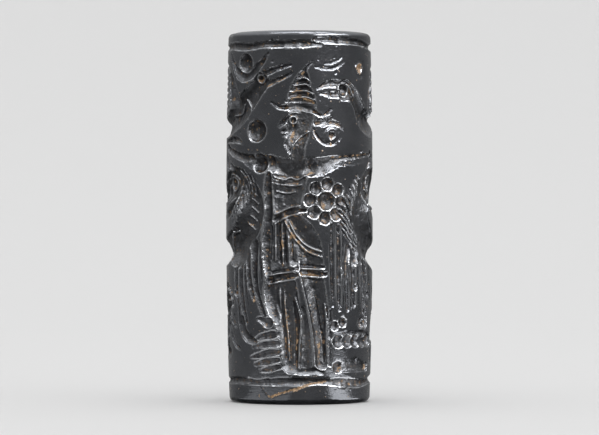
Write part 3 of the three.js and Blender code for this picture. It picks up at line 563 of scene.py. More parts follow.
leftBird = {
    "wheel": {
        "body": [(-11.2, 19.65, 0.26), (-9.3, 19.1, 0.38), (-7.7, 18.6, 0.62), (-6.3, 18.4, 0.82),
            (-5.2, 18.75, 0.8), (-4.6, 19.6, 0.56), (-3.95, 20.35, 0.46)],
        "head": [(-3.9, 20.4, 0.5), (-3.25, 20.6, 0.72)],
        "upper beak": [(-2.95, 20.95, 0.28), (-2.4, 21.05, 0.26), (-1.8, 20.95, 0.2), (-1.18, 20.66, 0.07)],
        "lower beak": [(-2.9, 20.3, 0.22), (-2.2, 20.28, 0.19), (-1.45, 20.34, 0.07)],
        "wing arm": [(-6.55, 19.1, 0.8), (-6.75, 20.2, 0.78), (-6.95, 21, 0.64), (-7.15, 21.7, 0.36)],
        "leading feather": [(-6.95, 21.95, 0.24), (-8.4, 22.45, 0.25), (-9.7, 22.85, 0.19),
            (-10.9, 23.1, 0.09)],
        "thin line": [(-8.1, 18.1, 0.06), (-7.6, 17.5, 0.1), (-7.2, 16.9, 0.05)],
    },
    "ridge": {
        "wing edge": [(-7.48, 21.6, 0.06), (-7.46, 20.6, 0.08), (-7.4, 19.3, 0.06)],
        "wing root": [(-7.2, 19, 0.06), (-6.5, 18.85, 0.09), (-5.9, 19.2, 0.07), (-5.85, 19.9, 0.05)],
        "beak gap": [(-2.9, 20.64, 0.05), (-2.3, 20.66, 0.08), (-1.6, 20.5, 0.05)],
        "crest": [(-4.3, 20.2, 0.05), (-3.8, 20.8, 0.07), (-3.2, 21, 0.05)],
    },
    "line": {
        "wing muscle": [(-6.5, 19.5, 0.4), (-6.7, 20.5, 0.45), (-7, 21.3, 0.25)],
    },
}

rightBird = {
    "wheel": {
        "body": [(2.6, 21.1, 0.55), (3.2, 20.55, 0.68), (3.95, 19.85, 0.82), (4.9, 19.1, 0.98),
            (6.4, 18.42, 0.84), (8.1, 18.15, 0.6), (10.2, 17.95, 0.36)],
        "upper beak": [(2.4, 21.72, 0.26), (1.5, 21.98, 0.18), (0.55, 22.2, 0.07)],
        "lower beak": [(2.35, 20.95, 0.26), (1.35, 21.3, 0.17), (0.5, 21.66, 0.07)],
        "wing arm": [(5.2, 19.3, 0.8), (5.65, 20.3, 0.76), (6, 21.1, 0.6), (6.25, 21.7, 0.34)],
        "leading feather": [(6.1, 21.9, 0.22), (7.2, 22.25, 0.25), (8.6, 22.68, 0.2), (9.85, 23, 0.1)],
        "tail end": [(11.45, 18.7, 0.08), (11.5, 18.1, 0.12), (11.4, 17.4, 0.08)],
    },
    "drill": {
        "head": [(2.8, 21.25, 0.52)],
    },
    "ridge": {
        "beak gap": [(0.7, 21.92, 0.05), (1.5, 21.66, 0.09), (2.3, 21.35, 0.07)],
        "neck crease": [(3.3, 19.05, 0.07), (3.7, 19.5, 0.09), (4.2, 20, 0.06)],
        "wing edge": [(6.5, 21.5, 0.06), (6.4, 20.6, 0.08), (6.2, 19.5, 0.06)],
        "wing root": [(4.5, 19.7, 0.06), (4.9, 19.1, 0.09), (5.9, 18.95, 0.06)],
    },
    "line": {
        "wing muscle": [(5.3, 19.8, 0.4), (5.7, 20.6, 0.4), (6.05, 21.3, 0.25)],
    },
}


# fans of feathers: (feathers, first root, last root, first tip, last tip)
feathers = {
    "left wing": (6, (-7.45, 21.42, 0.19), (-7.4, 19.2, 0.17), (-10.35, 22.25, 0.09), (-9.95, 19.85, 0.09)),
    "left tail": (3, (-10.3, 19.6, 0.2), (-10.3, 19.4, 0.2), (-11.95, 20.42, 0.11), (-11.95, 19.2, 0.11)),
    "right wing": (7, (6.6, 21.45, 0.18), (6.35, 19.2, 0.15), (10.05, 22.35, 0.09), (7.5, 19.15, 0.08)),
    "right tail": (4, (10.0, 18.2, 0.18), (10.0, 17.95, 0.18), (11.35, 18.75, 0.1), (11.25, 17.2, 0.1)),
    "griffin wing": (8, (-14.1, 20.2, 0.15), (-14.15, 18.2, 0.14), (-17.35, 22.05, 0.08),
                     (-16.3, 19.35, 0.07)),
    "wing below": (6, (-14.15, 17.9, 0.12), (-14.15, 16.75, 0.11), (-15.85, 18.45, 0.07), (-15, 16.85, 0.06)),
}


def carveBirds(skin):
    cut(skin, leftBird)
    fan(skin, *feathers["left wing"])
    fan(skin, *feathers["left tail"])
    eye(skin, -3.24, 20.6, 0.34, lid=0.1)
    cut(skin, rightBird)
    fan(skin, *feathers["right wing"])
    fan(skin, *feathers["right tail"])
    eye(skin, 2.8, 21.32, 0.19, lid=0.08)


griffin = {
    "wheel": {
        "body": [(-18.9, 16.55, 0.55), (-17.7, 16.4, 0.9), (-16.2, 16.45, 0.82), (-14.9, 16.05, 0.88),
            (-13.6, 15.8, 0.9)],
        "breast": [(-14, 14.95, 0.2), (-13.6, 15.5, 0.35), (-13.1, 16, 0.6)],
        "shoulder": [(-12.6, 16.1, 0.85), (-12.5, 16.05, 0.85)],
        "neck": [(-12.2, 16.1, 0.7), (-11.4, 16.7, 0.68), (-10.7, 17.1, 0.74), (-9.9, 17.4, 0.86)],
        "upper beak": [(-9.3, 17.35, 0.42), (-8.5, 17.35, 0.3), (-7.9, 17, 0.2), (-7.4, 16.55, 0.08)],
        "lower beak": [(-10, 16.8, 0.35), (-9.2, 16.75, 0.2), (-8.4, 16.6, 0.09)],
        "upper hind leg": [(-18.2, 16.95, 0.45), (-19.4, 16.75, 0.34), (-20.6, 16.62, 0.3),
            (-21.7, 16.4, 0.26), (-22.65, 16.05, 0.2)],
        "lower hind leg": [(-18.8, 16.3, 0.55), (-19.6, 15.55, 0.4), (-20.9, 15.25, 0.32),
            (-21.7, 14.75, 0.28), (-22.15, 13.9, 0.2)],
        "tail": [(-17.2, 17.3, 0.4), (-17.7, 18.3, 0.27), (-18.3, 19.7, 0.17), (-18.75, 21, 0.13),
            (-18.9, 22.2, 0.13)],
        "rump feather": [(-16.1, 17.5, 0.35), (-16.5, 18.3, 0.22), (-17.2, 19.3, 0.1)],
        "upper foreleg": [(-11.8, 16.1, 0.42), (-10.3, 16, 0.3), (-9.4, 15.9, 0.25), (-8.85, 15.68, 0.18)],
        "lower foreleg": [(-13.5, 14.85, 0.3), (-12.4, 14.66, 0.44), (-10.8, 14.82, 0.36),
            (-9.8, 14.78, 0.26)],
        "leading feather": [(-13.3, 20.6, 0.24), (-14.8, 21.1, 0.22), (-16.2, 21.7, 0.18),
            (-17.5, 22.5, 0.1)],
        "wing stem": [(-13.9, 20.1, 0.14), (-13.95, 18.2, 0.15), (-13.9, 16.5, 0.14)],
        "front stem": [(-13.35, 20.2, 0.16), (-13.4, 18.3, 0.18), (-13.45, 16.8, 0.16)],
        "crown": [(-11, 17.7, 0.2), (-10.4, 18.12, 0.2), (-9.7, 18.2, 0.2), (-9.15, 17.95, 0.14)],
    },
    "drill": {
        "wing tip": [(-13.2, 20.4, 0.36)],
        "crest": [(-12.95, 19.8, 0.2), (-12.6, 19.42, 0.22), (-12.8, 18.92, 0.24), (-12.4, 18.72, 0.18),
            (-12.68, 18.3, 0.22), (-12.15, 17.88, 0.3)],
        "tail tip": [(-18.76, 22.65, 0.42)],
        "hind paws": [(-22.75, 15.95, 0.24), (-22.55, 15.25, 0.26), (-22.3, 13.45, 0.26),
            (-22.6, 12.98, 0.26)],
        "hock": [(-22.1, 16.45, 0.16)],
        "fore paws": [(-8.6, 15.58, 0.27), (-9.25, 14.6, 0.44)],
    },
    "ridge": {
        "mouth": [(-9.6, 17, 0.07), (-9, 16.96, 0.09), (-8.4, 16.95, 0.06)],
        "collar": [(-11.6, 17.35, 0.06), (-11.35, 16.9, 0.08), (-11.2, 16.3, 0.06)],
        "inner collar": [(-11.2, 17.5, 0.06), (-11, 17.05, 0.08), (-10.8, 16.4, 0.06)],
        "between the forelegs": [(-13.2, 15.3, 0.07), (-11.8, 15.28, 0.1), (-10.2, 15.42, 0.09),
            (-9.5, 15.34, 0.06)],
        "haunch": [(-17.6, 17.2, 0.06), (-17, 16.5, 0.08), (-17.3, 15.7, 0.06)],
    },
    "line": {
        "flank": [(-16.8, 16.4, 0.3), (-15.6, 16.3, 0.35), (-14.6, 16, 0.3)],
    },
}


def carveGriffin(skin):
    cut(skin, griffin)
    fan(skin, *feathers["griffin wing"])
    fan(skin, *feathers["wing below"])
    eye(skin, -9.9, 17.55, 0.16)
    skin.touch(arc(-12.55, 16.07, 0.7, 0.07), -0.11)  # round the shoulder


attendant = {
    "wheel": {
        "head": [(-17.2, 14.15, 0.72), (-16.5, 14.05, 0.7), (-15.6, 14, 0.46), (-14.75, 14, 0.32)],
        "jaw": [(-16.8, 13.55, 0.62), (-15.9, 13.25, 0.42), (-15.1, 13.05, 0.28)],
        "ear": [(-17.4, 14.5, 0.3), (-18.3, 14.5, 0.24), (-19.15, 14.62, 0.08)],
        "back": [(-17.8, 13, 0.5), (-16.9, 12.3, 0.8), (-16.25, 11.5, 0.9), (-16.1, 10.7, 0.72),
            (-16.2, 9.8, 0.5)],
        "rump": [(-18.2, 11.6, 0.3), (-17.3, 11, 0.4), (-16.6, 10.5, 0.4)],
        "tail of the pelt": [(-17.6, 10.7, 0.34), (-17.1, 10.2, 0.34), (-16.5, 9.8, 0.3)],
        "gown": [(-16.3, 9.6, 0.5), (-16.25, 8.6, 0.8), (-16.2, 7, 0.86), (-16.2, 5, 0.8),
            (-16.35, 3.4, 0.68), (-16.5, 2.3, 0.5)],
        "front leg": [(-14.8, 8.6, 0.14), (-14.7, 7.4, 0.34), (-14.8, 5.6, 0.34), (-14.95, 4, 0.28),
            (-15, 2.5, 0.2)],
        "raised arm": [(-15.9, 10.8, 0.42), (-15.1, 10.1, 0.32), (-14.6, 9.98, 0.27), (-14.5, 11, 0.28),
            (-14.4, 11.8, 0.27), (-13.8, 12.45, 0.22), (-13.25, 12.95, 0.14)],
        "lower arm": [(-15.8, 10, 0.34), (-15.1, 9.2, 0.27), (-14.2, 8.7, 0.23), (-13.2, 8.36, 0.22),
            (-12.45, 8.6, 0.16)],
        "jug": [(-13, 10.95, 0.86), (-12.95, 10.6, 0.82)],
        "jug neck": [(-12.78, 11.5, 0.24), (-12.78, 12.2, 0.18), (-12.6, 12.82, 0.18), (-12, 13.05, 0.14)],
        "jug handle": [(-12.25, 11.5, 0.13), (-12.05, 12, 0.13), (-12.05, 12.6, 0.1)],
    },
    "drill": {
        "pelt beads": [(-18.5, 13.4, 0.4), (-18.62, 12.55, 0.34), (-18.22, 11.7, 0.4), (-17.7, 10.7, 0.36)],
        "belt beads": [(-17.3, 8.35, 0.42), (-17.45, 7.7, 0.34), (-17.22, 6.65, 0.28), (-17, 5.12, 0.32)],
        "knee": [(-15.26, 4.22, 0.16)],
        "toes": [(-14.6, 2.3, 0.34), (-14.03, 2.3, 0.34), (-15.3, 2.35, 0.25)],
        "hand": [(-13.12, 13.15, 0.19)],
        "jug foot": [(-13.2, 9.62, 0.16), (-13.03, 9.08, 0.29)],
    },
    "ridge": {
        "mouth": [(-15.9, 13.62, 0.07), (-15.3, 13.52, 0.1), (-14.7, 13.5, 0.08)],
        "arm groove": [(-14.55, 10.2, 0.05), (-14.45, 11.4, 0.07), (-14.1, 12, 0.07), (-13.5, 12.55, 0.05)],
        "waist": [(-16.7, 9.75, 0.06), (-16.2, 9.55, 0.07), (-15.7, 9.7, 0.06)],
        "jug shoulder": [(-13.6, 11.2, 0.05), (-12.95, 11.4, 0.06), (-12.4, 11.25, 0.05)],
    },
}


straps = dict(count=4, pitch=0.46)
gownFolds = dict(count=4, first=(-16.85, 0), pitch=(0.38, 0), depth=-0.12,
                 line=[(0, 7.4, 0.05), (-0.05, 4.6, 0.08), (-0.2, 2.2, 0.06)])


def carveAttendant(skin):
    cut(skin, attendant)
    eye(skin, -16.6, 14.22, 0.2)
    for strap in range(straps["count"]):
        low = straps["pitch"] * strap
        skin.touch([(-18.0 + 0.12 * strap, 13.0 - low, 0.08), (-16.8 + 0.12 * strap, 12.42 - low, 0.1),
                    (-15.75, 11.95 - 0.4 * strap, 0.07)], tools["ridgeDepth"])
    row(skin, **gownFolds)


hareHead = {
    "wheel": {
        "skull": [(-7.8, 5.3, 1.1), (-8.1, 4.6, 1.12), (-8.5, 3.8, 0.66), (-8.7, 3.2, 0.25)],
        "muzzle": [(-7.4, 5.3, 0.8), (-6.95, 4.6, 0.46), (-6.75, 3.7, 0.3), (-6.82, 3, 0.28)],
        "near ear": [(-7.75, 6.2, 0.36), (-7.45, 6.95, 0.32), (-6.95, 7.72, 0.1)],
        "far ear": [(-8.6, 6.2, 0.2), (-8.45, 6.95, 0.2), (-8, 7.6, 0.08)],
        "nose stroke": [(-8.75, 3.15, 0.16), (-8.2, 2.72, 0.2), (-7.6, 2.1, 0.1)],
        "lip stroke": [(-8.25, 3.4, 0.12), (-7.75, 3, 0.16), (-7.15, 2.3, 0.1)],
    },
    "drill": {
        "chin": [(-6.82, 2.78, 0.36)],
    },
    "ridge": {
        "brow": [(-8.1, 5.75, 0.05), (-7.6, 6.08, 0.08), (-6.9, 5.85, 0.05)],
        "jaw": [(-7.6, 4.5, 0.07), (-7.25, 3.8, 0.1), (-7.45, 3.1, 0.07)],
        "cheek fold": [(-8.2, 3.9, 0.05), (-7.9, 3.5, 0.08), (-7.5, 3.3, 0.05)],
        "ear edge": [(-7.9, 6.35, 0.05), (-7.45, 6.28, 0.07), (-7.1, 6.1, 0.05)],
    },
}

personHead = {
    "wheel": {
        "skull": [(6.85, 6.4, 1), (7.1, 5.7, 0.88), (7.2, 5.1, 0.66), (7.3, 4.75, 0.48)],
        "neck": [(6.8, 5, 0.62), (6.85, 4.2, 0.56), (6.95, 3.5, 0.62)],
        "neck base": [(6.3, 3.35, 0.34), (7, 3.25, 0.42), (7.7, 3.35, 0.3)],
        "nose": [(7.75, 6.2, 0.18), (8.06, 5.92, 0.18), (8.24, 5.72, 0.12)],
        "lips": [(7.7, 5.42, 0.18), (7.92, 5.38, 0.11)],
        "lower lip": [(7.66, 5.14, 0.17), (7.86, 5.1, 0.1)],
        "upper plait": [(6.1, 6.1, 0.2), (5.6, 5.5, 0.18), (5.1, 5.05, 0.13)],
        "lower plait": [(6.1, 5.2, 0.18), (5.7, 4.4, 0.17), (5.2, 3.85, 0.17), (4.7, 3.62, 0.12)],
    },
    "line": {
        "cheek": [(7.2, 5.4, 0.28), (7.3, 5.3, 0.28)],
    },
    "ridge": {
        "jaw": [(6.3, 5.3, 0.06), (6.7, 4.85, 0.08), (7.15, 4.5, 0.07)],
        "hairline": [(6.3, 5.7, 0.06), (6.75, 6.5, 0.07), (7.5, 6.75, 0.06)],
        "ear": [(6.55, 5.95, 0.05), (6.45, 5.7, 0.06), (6.6, 5.5, 0.05)],
    },
}


# rows of curls over the person's head: (reach, size, count, pitch in degrees)
curls = dict(middle=(6.85, 6.5), first=176, rows=[(1.22, 0.29, 6, 24), (0.74, 0.23, 4, 34)])


def carveHeads(skin):
    cut(skin, hareHead)
    eye(skin, -7.55, 5.62, 0.23)
    cut(skin, personHead)
    eye(skin, 7.42, 6.02, 0.14, lid=0.06)
    for reach, size, count, pitch in curls["rows"]:
        for curl in range(count):
            angle = math.radians(curls["first"] - pitch * curl)
            around, up = curls["middle"]
            spot = (around + reach * math.cos(angle), up + reach * math.sin(angle), size)
            skin.drill(spot)
            skin.touch([spot, spot], 0.07)


skySigns = {
    "wheel": {
        "moon": [(2.15, 23, 0.08), (2.75, 22.3, 0.22), (3.5, 21.7, 0.34), (4.3, 21.52, 0.38),
            (5, 21.85, 0.32), (5.55, 22.45, 0.2), (5.95, 23.05, 0.08)],
        "leaf": [(4.2, 17.1, 0.08), (4.8, 17.34, 0.2), (5.5, 17.4, 0.24), (6.8, 17.28, 0.08)],
    },
    "drill": {
        "sun": [(4.06, 22.36, 0.66)],
        "disk": [(3.02, 17.92, 0.74)],
    },
}


rings = [(-4.72, 22.06, 0.56, 0.3, 0.45), (-11.88, 22.25, 0.7, 0.32, 1.0)]  # around, up, radius, dot, bite
ringWidth = 0.16
rosette = dict(around=-1.8, up=13.32, heart=0.62, heartBite=1.1, reach=1.1, petals=8, petal=0.44, turn=0.1)
altar = dict(first=-5.85, pitch=0.78, balls=5, up=4.14, ball=0.46, footBite=0.6)
altarFeet = [(-5.65, 2.38, 0.32), (-2.72, 2.45, 0.4)]
altarMouldings = [[(-5.8, 4.1, 0.34), (-2.7, 4.1, 0.3)],
                  [(-5.9, 4.62, 0.1), (-4.4, 4.7, 0.16), (-2.5, 4.6, 0.08)]]
altarFoot = [[(-5.7, 2.34, 0.26), (-4.2, 2.48, 0.4), (-2.7, 2.35, 0.28)],
             [(-5.1, 2.6, 0.16), (-4.25, 2.8, 0.26), (-3.4, 2.62, 0.16)]]
rosetteStem = [[(-2.66, 11.7, 0.14), (-2.72, 9.8, 0.22), (-2.76, 8.0, 0.22), (-2.78, 6.2, 0.12)],
               [(-2.14, 11.8, 0.12), (-2.2, 9.8, 0.2), (-2.26, 8.0, 0.2), (-2.3, 6.5, 0.1)]]
# low stand under the right lion's paws
lowStand = [[(1.3, 4.66, 0.18), (1.9, 4.58, 0.29), (2.7, 4.44, 0.22), (3.1, 4.3, 0.1)],
            [(1.25, 4.02, 0.18), (1.9, 3.98, 0.27), (2.7, 3.9, 0.22), (3.4, 3.76, 0.1)],
            [(1.3, 3.46, 0.18), (2.1, 3.38, 0.29), (3.0, 3.2, 0.2), (3.6, 3.08, 0.08)],
            [(1.4, 2.94, 0.16), (2.3, 2.82, 0.27), (3.2, 2.62, 0.12)],
            [(1.3, 2.5, 0.16), (2.0, 2.36, 0.24), (2.8, 2.2, 0.1)]]
standEdge = [(1.22, 4.1, 0.1), (1.2, 3.3, 0.15), (1.22, 2.5, 0.1)]
standBite = 1.1


def carveSigns(skin):
    cut(skin, skySigns)
    for around, up, radius, dot, bite in rings:
        skin.tubeDrill(around, up, radius, ringWidth, bite=bite)
        skin.drill((around, up, dot))
    for petal in range(rosette["petals"]):
        angle = 2 * math.pi * (petal + rosette["turn"]) / rosette["petals"]
        skin.drill((rosette["around"] + rosette["reach"] * math.cos(angle),
                    rosette["up"] + rosette["reach"] * math.sin(angle), rosette["petal"]))
    skin.drill((rosette["around"], rosette["up"], rosette["heart"]), bite=rosette["heartBite"])
    for stem in rosetteStem:
        skin.wheel(*stem)
    for ball in range(altar["balls"]):
        skin.drill((altar["first"] + ball * altar["pitch"], altar["up"], altar["ball"]))
    for moulding in altarMouldings:
        skin.wheel(*moulding)
    skin.drill(*altarFeet)
    for moulding in altarFoot:
        skin.wheel(*moulding, bite=altar["footBite"])
    for bar in lowStand:
        skin.wheel(*bar, bite=standBite)
    skin.wheel(*standEdge)


borders = dict(
    upper=23.56,
    lower=1.46,
    halfWidth=0.27,
    wander=0.07,  # how far a hand-cut line strays
    strokes=7,
    firstEnd=0.6,
    overlap=(0.5, 0.4),  # before and after
    blunt=(0.85, 1.1),  # from the thinnest to the widest
)

# the two strokes of the upper border in front, which pass each other
frontStrokes = {
    2: [(-6.3, 23.6, 0.12), (-4.6, 23.8, 0.22), (-2.6, 23.86, 0.25), (-1.0, 23.86, 0.14)],
    3: [(-1.4, 23.58, 0.14), (-0.3, 23.62, 0.27), (1.6, 23.6, 0.27), (3.2, 23.58, 0.14)],
}


def carveBorders(skin, dice):
    # each border is a chain of strokes that overlap a little and don't quite line up
    for height in (borders["upper"], borders["lower"]):
        step = skin.turn / borders["strokes"]
        for stroke in range(borders["strokes"]):
            start = -skin.turn / 2 + stroke * step + borders["firstEnd"]
            lift = dice.normal(0, borders["wander"], 4)
            width = borders["halfWidth"] * dice.uniform(*borders["blunt"])
            before, after = borders["overlap"]
            places = [start - before, start + step * 0.3, start + step * 0.7, start + step + after]
            widths = [width * 0.5, width, width, width * 0.5]
            stations = list(zip(places, height + lift, widths))
            if height == borders["upper"]:
                stations = frontStrokes.get(stroke, stations)
            skin.wheel(*stations)


def smoothNoise(skin, dice, across, size):
    # soft random hills, of about this size in millimetres, that meet at the seam
    columns, rows = round(skin.turn / across), round(skin.height / size) + 2
    hills = dice.normal(0, 1, (rows, columns))
    x = numpy.arange(skin.columns) / skin.columns * columns
    y = numpy.arange(skin.rows + 1) / (skin.rows + 1) * (rows - 1.001)
    x0, y0 = x.astype(int), y.astype(int)
    fx, fy = x - x0, y - y0
    fx, fy = fx * fx * (3 - 2 * fx), (fy * fy * (3 - 2 * fy))[:, None]
    low = hills[y0][:, x0 % columns] * (1 - fx) + hills[y0][:, (x0 + 1) % columns] * fx
    high = hills[y0 + 1][:, x0 % columns] * (1 - fx) + hills[y0 + 1][:, (x0 + 1) % columns] * fx
    return low * (1 - fy) + high * fy


wear = dict(
    chips=30,
    pits=190,
    scratches=40,
    waviness=0.012,
    handling=0.006,  # small flats and dents in the smooth stone
    toolMarks=0.016,
    strokes=0.016,  # up and down the long cuts
    marksFrom=0.1,  # how deep a cut has to be to keep them all
    rustShare=0.66,
    fullRust={"middle of the ring": 0.95},
    rustEdge=0.6,
    # sizes of the hills, in millimetres: (around, up)
    wavinessHills=(5, 5),
    handlingHills=(0.9, 1.4),
    markHills=(0.35, 0.35),
    fineMarkHills=(0.17, 0.17),
    strokeHills=(0.2, 1.5),
    fineMarks=0.7,
    pitBite=0.7,
    pitSizes=(0.04, 0.1),
    pitMargin=0.2,
    chipBite=0.6,
    chipSizes=(0.08, 0.3),
    chipLengths=(0.2, 2),  # times its size
    chipTaper=0.7,
    chipStray=0.05,
    scratchBite=0.25,
    scratchWidth=0.03,
    scratchLengths=(0.5, 2.5),
    scratchMargin=0.5,
)

# where rust has kept, as strokes: (around, up, half width)
rusty = {
    "low roll of the hat": [(0.7, 19.9, 0.06), (0.1, 20.12, 0.08), (-0.9, 19.85, 0.06)],
    "high roll of the hat": [(0.5, 20.42, 0.05), (0.0, 20.56, 0.08), (-0.7, 20.35, 0.05)],
    "top of the hat": [(-0.1, 21.5, 0.06), (-0.35, 21.8, 0.09), (-0.5, 21.4, 0.06)],
    "edge of the rear arm": [(-2.2, 16.2, 0.06), (-3.6, 16.28, 0.09), (-5.6, 16.46, 0.06)],
    "chest": [(0.2, 14.4, 0.08), (-0.4, 14.8, 0.06)],
    "belt": [(0.3, 12.45, 0.06), (0.9, 12.35, 0.1), (1.4, 12.1, 0.06)],
    "leaf": [(0.95, 12.05, 0.07), (0.5, 11.15, 0.1), (0, 10.52, 0.09), (-0.6, 10.02, 0.08),
             (-1.4, 9.7, 0.05)],
    "pleat": [(1.2, 11.7, 0.06), (1.2, 10.6, 0.09), (1.16, 9.1, 0.06)],
    "rear hem": [(-0.1, 8.5, 0.06), (-0.8, 8.5, 0.1), (-1.5, 8.42, 0.06)],
    "front hem": [(0.3, 8.34, 0.06), (1.0, 8.24, 0.08), (1.7, 8.14, 0.05)],
    "front shin": [(1.08, 7.2, 0.05), (0.98, 6.0, 0.09), (0.8, 4.4, 0.09), (0.7, 2.9, 0.05)],
    "rear shin": [(-0.7, 6.5, 0.04), (-1.1, 5.0, 0.06), (-1.4, 4.0, 0.04)],
    "lower beak": [(2.3, 20.8, 0.06), (1.4, 21.15, 0.08), (0.9, 21.4, 0.05)],
    "eye of the bird": [(2.7, 21.3, 0.2), (2.9, 21.15, 0.2)],
    "face": [(0.5, 18.45, 0.1), (0.4, 17.9, 0.08), (0.6, 17.2, 0.06)],
    "middle of the ring": [(-4.76, 22.12, 0.36), (-4.66, 22.0, 0.36)],
    "curl": [(-2.2, 17.62, 0.1), (-2.15, 17.0, 0.1)],
    "mane": [(3.4, 11.78, 0.08), (4.0, 11.8, 0.1)],
    "mane below": [(2.72, 11.95, 0.07), (2.7, 11.6, 0.05)],
    "cheek of the lion": [(3.8, 14.9, 0.07), (4.5, 14.9, 0.1), (5.0, 14.4, 0.06)],
    "foot of the altar": [(-3.0, 2.5, 0.12), (-2.8, 2.3, 0.12)],
    "shoulder": [(-0.9, 15.2, 0.12), (-0.5, 15.0, 0.1)],
    "beard": [(0.3, 18.0, 0.1), (0.6, 17.5, 0.1)],
    "by the rear leg": [(-1.5, 4.6, 0.05), (-1.4, 3.4, 0.06), (-1.3, 2.9, 0.04)],
    "dew claw": [(3.3, 7.0, 0.12), (3.2, 6.7, 0.1)],
    "petals": [(-2.3, 12.3, 0.08), (-1.6, 12.0, 0.1), (-1.2, 12.5, 0.06)],
    "heart of the rosette": [(-1.9, 13.1, 0.1), (-1.6, 13.0, 0.1)],
}

# an old rusty flaw across the lower border, and its branch: (stations, share of rust)
flaws = dict(
    bite=0.8,
    stainWidth=1.5,
    edge=0.7,
    strokes=[
        ([(2.1, 0.5, 0.03), (1.6, 0.66, 0.06), (0.7, 0.92, 0.08), (0.1, 1.08, 0.09), (-0.8, 1.38, 0.07),
          (-1.9, 1.52, 0.04)], 1.0),
        ([(2.75, 1.2, 0.03), (2.4, 0.8, 0.06), (2.05, 0.5, 0.07), (1.7, 0.5, 0.03)], 0.45),
    ],
)


def wearSkin(skin, depth, dice):
    # the hand-ground surface isn't quite round, and the cuts keep the marks of their tools
    inCut = numpy.clip(depth / wear["marksFrom"], 0, 1)
    for name, stations in rusty.items():
        skin.mark(stations, wear["fullRust"].get(name, wear["rustShare"]), wear["rustEdge"])
    depth = depth + wear["waviness"] * (1 + smoothNoise(skin, dice, *wear["wavinessHills"]) / 3).clip(0)
    depth = depth + wear["handling"] * smoothNoise(skin, dice, *wear["handlingHills"]).clip(0, 2)
    marks = smoothNoise(skin, dice, *wear["markHills"])
    marks = marks + wear["fineMarks"] * smoothNoise(skin, dice, *wear["fineMarkHills"])
    depth = depth + inCut * wear["toolMarks"] * marks
    depth = depth + inCut * wear["strokes"] * smoothNoise(skin, dice, *wear["strokeHills"])
    pitted = Skin(skin.turn, skin.height, stoneShape["steps"])

    def somewhere(margin):
        return dice.uniform(-1, 1) * skin.turn / 2, dice.uniform(margin, skin.height - margin)

    for pit in range(wear["pits"]):
        around, up = somewhere(wear["pitMargin"])
        pitted.drill((around, up, dice.uniform(*wear["pitSizes"])), bite=wear["pitBite"])
    for chip in range(wear["chips"]):
        height = dice.choice([0.0, skin.height]) + dice.normal(0, wear["chipStray"])
        size = dice.uniform(*wear["chipSizes"])
        around = dice.uniform(-1, 1) * skin.turn / 2
        end = (around + size * dice.uniform(*wear["chipLengths"]), height, size * wear["chipTaper"])
        pitted.wheel((around - size, height, size), end, bite=wear["chipBite"])
    for scratch in range(wear["scratches"]):
        around, up = somewhere(wear["scratchMargin"])
        turnBy, length = dice.uniform(0, math.pi), dice.uniform(*wear["scratchLengths"])
        end = (around + length * math.cos(turnBy), up + length * math.sin(turnBy), wear["scratchWidth"])
        pitted.wheel((around, up, wear["scratchWidth"]), end, bite=wear["scratchBite"])
    for stations, share in flaws["strokes"]:
        pitted.wheel(*stations, bite=flaws["bite"])
        skin.mark([(x, y, width * flaws["stainWidth"]) for x, y, width in stations], share, flaws["edge"])
    return depth + pitted.depth()


def barrelRadius(up):
    # half width of the uncut stone, rounded over at both rims
    upper = up > stoneShape["bellyHeight"]
    endRadius = numpy.where(upper, stoneShape["upperEndRadius"], stoneShape["lowerEndRadius"])
    reach = numpy.where(upper, sealHeight - stoneShape["bellyHeight"], stoneShape["bellyHeight"])
    barrel = bellyRadius - (bellyRadius - endRadius) * ((up - stoneShape["bellyHeight"]) / reach) ** 2
    rounding = stoneShape["rimRounding"]
    intoRim = numpy.clip(rounding - numpy.minimum(up, sealHeight - up), 0, rounding) / rounding
    return barrel - rounding * (1 - numpy.sqrt(1 - intoRim**2))


def onStone(radius, angle, up):
    # the carving is mirrored here: what runs right on the print runs left on the stone
    return numpy.stack([-radius * numpy.sin(angle), -radius * numpy.cos(angle), up], axis=-1) * mm


def wrapSide(skin, depth):
    up = (numpy.arange(skin.rows + 1) * skin.tall)[:, None] + numpy.zeros_like(depth)
    angle = 2 * numpy.pi * numpy.arange(skin.columns) / skin.columns - numpy.pi
    return onStone(barrelRadius(up) - depth, angle + numpy.zeros_like(depth), up)


def halves(triangles):
    # a right-angled triangle is its long side's two ends and its corner, as columns and rows of the grid
    a, b, c, d, e, f = triangles.T
    x, y = (a + c) // 2, (b + d) // 2
    return numpy.concatenate([numpy.stack([e, f, a, b, x, y], 1), numpy.stack([c, d, e, f, x, y], 1)])


def strays(points, roots):
    # how far the carving strays from each triangle that could stand for it
    steps = stoneShape["steps"]
    worst = numpy.zeros(points.shape[:2])
    worst[[0, -1], ::2] = numpy.inf  # both rims keep every second point, for the end faces to join
    levels = [roots]
    while len(levels) < 2 * math.log2(steps):
        levels.append(halves(levels[-1]))
    inner = None
    for triangles in reversed(levels):
        a, b, c, d, e, f = triangles.T
        x, y = (a + c) // 2, (b + d) // 2
        middle = (points[b, a % steps] + points[d, c % steps]) / 2
        stray = numpy.linalg.norm(middle - points[y, x % steps], axis=1)
        if inner is not None:
            stray = numpy.maximum(stray, worst[(f + b) // 2, (e + a) // 2 % steps])
            stray = numpy.maximum(stray, worst[(d + f) // 2, (c + e) // 2 % steps])
        if numpy.hypot(a[0] - c[0], b[0] - d[0]) > stoneShape["coarsest"]:
            stray = stray + numpy.inf
        numpy.maximum.at(worst, (y, x % steps), stray)
        if inner is None:
            worst[[0, -1], 1::2] = 0
        inner = triangles
    return worst


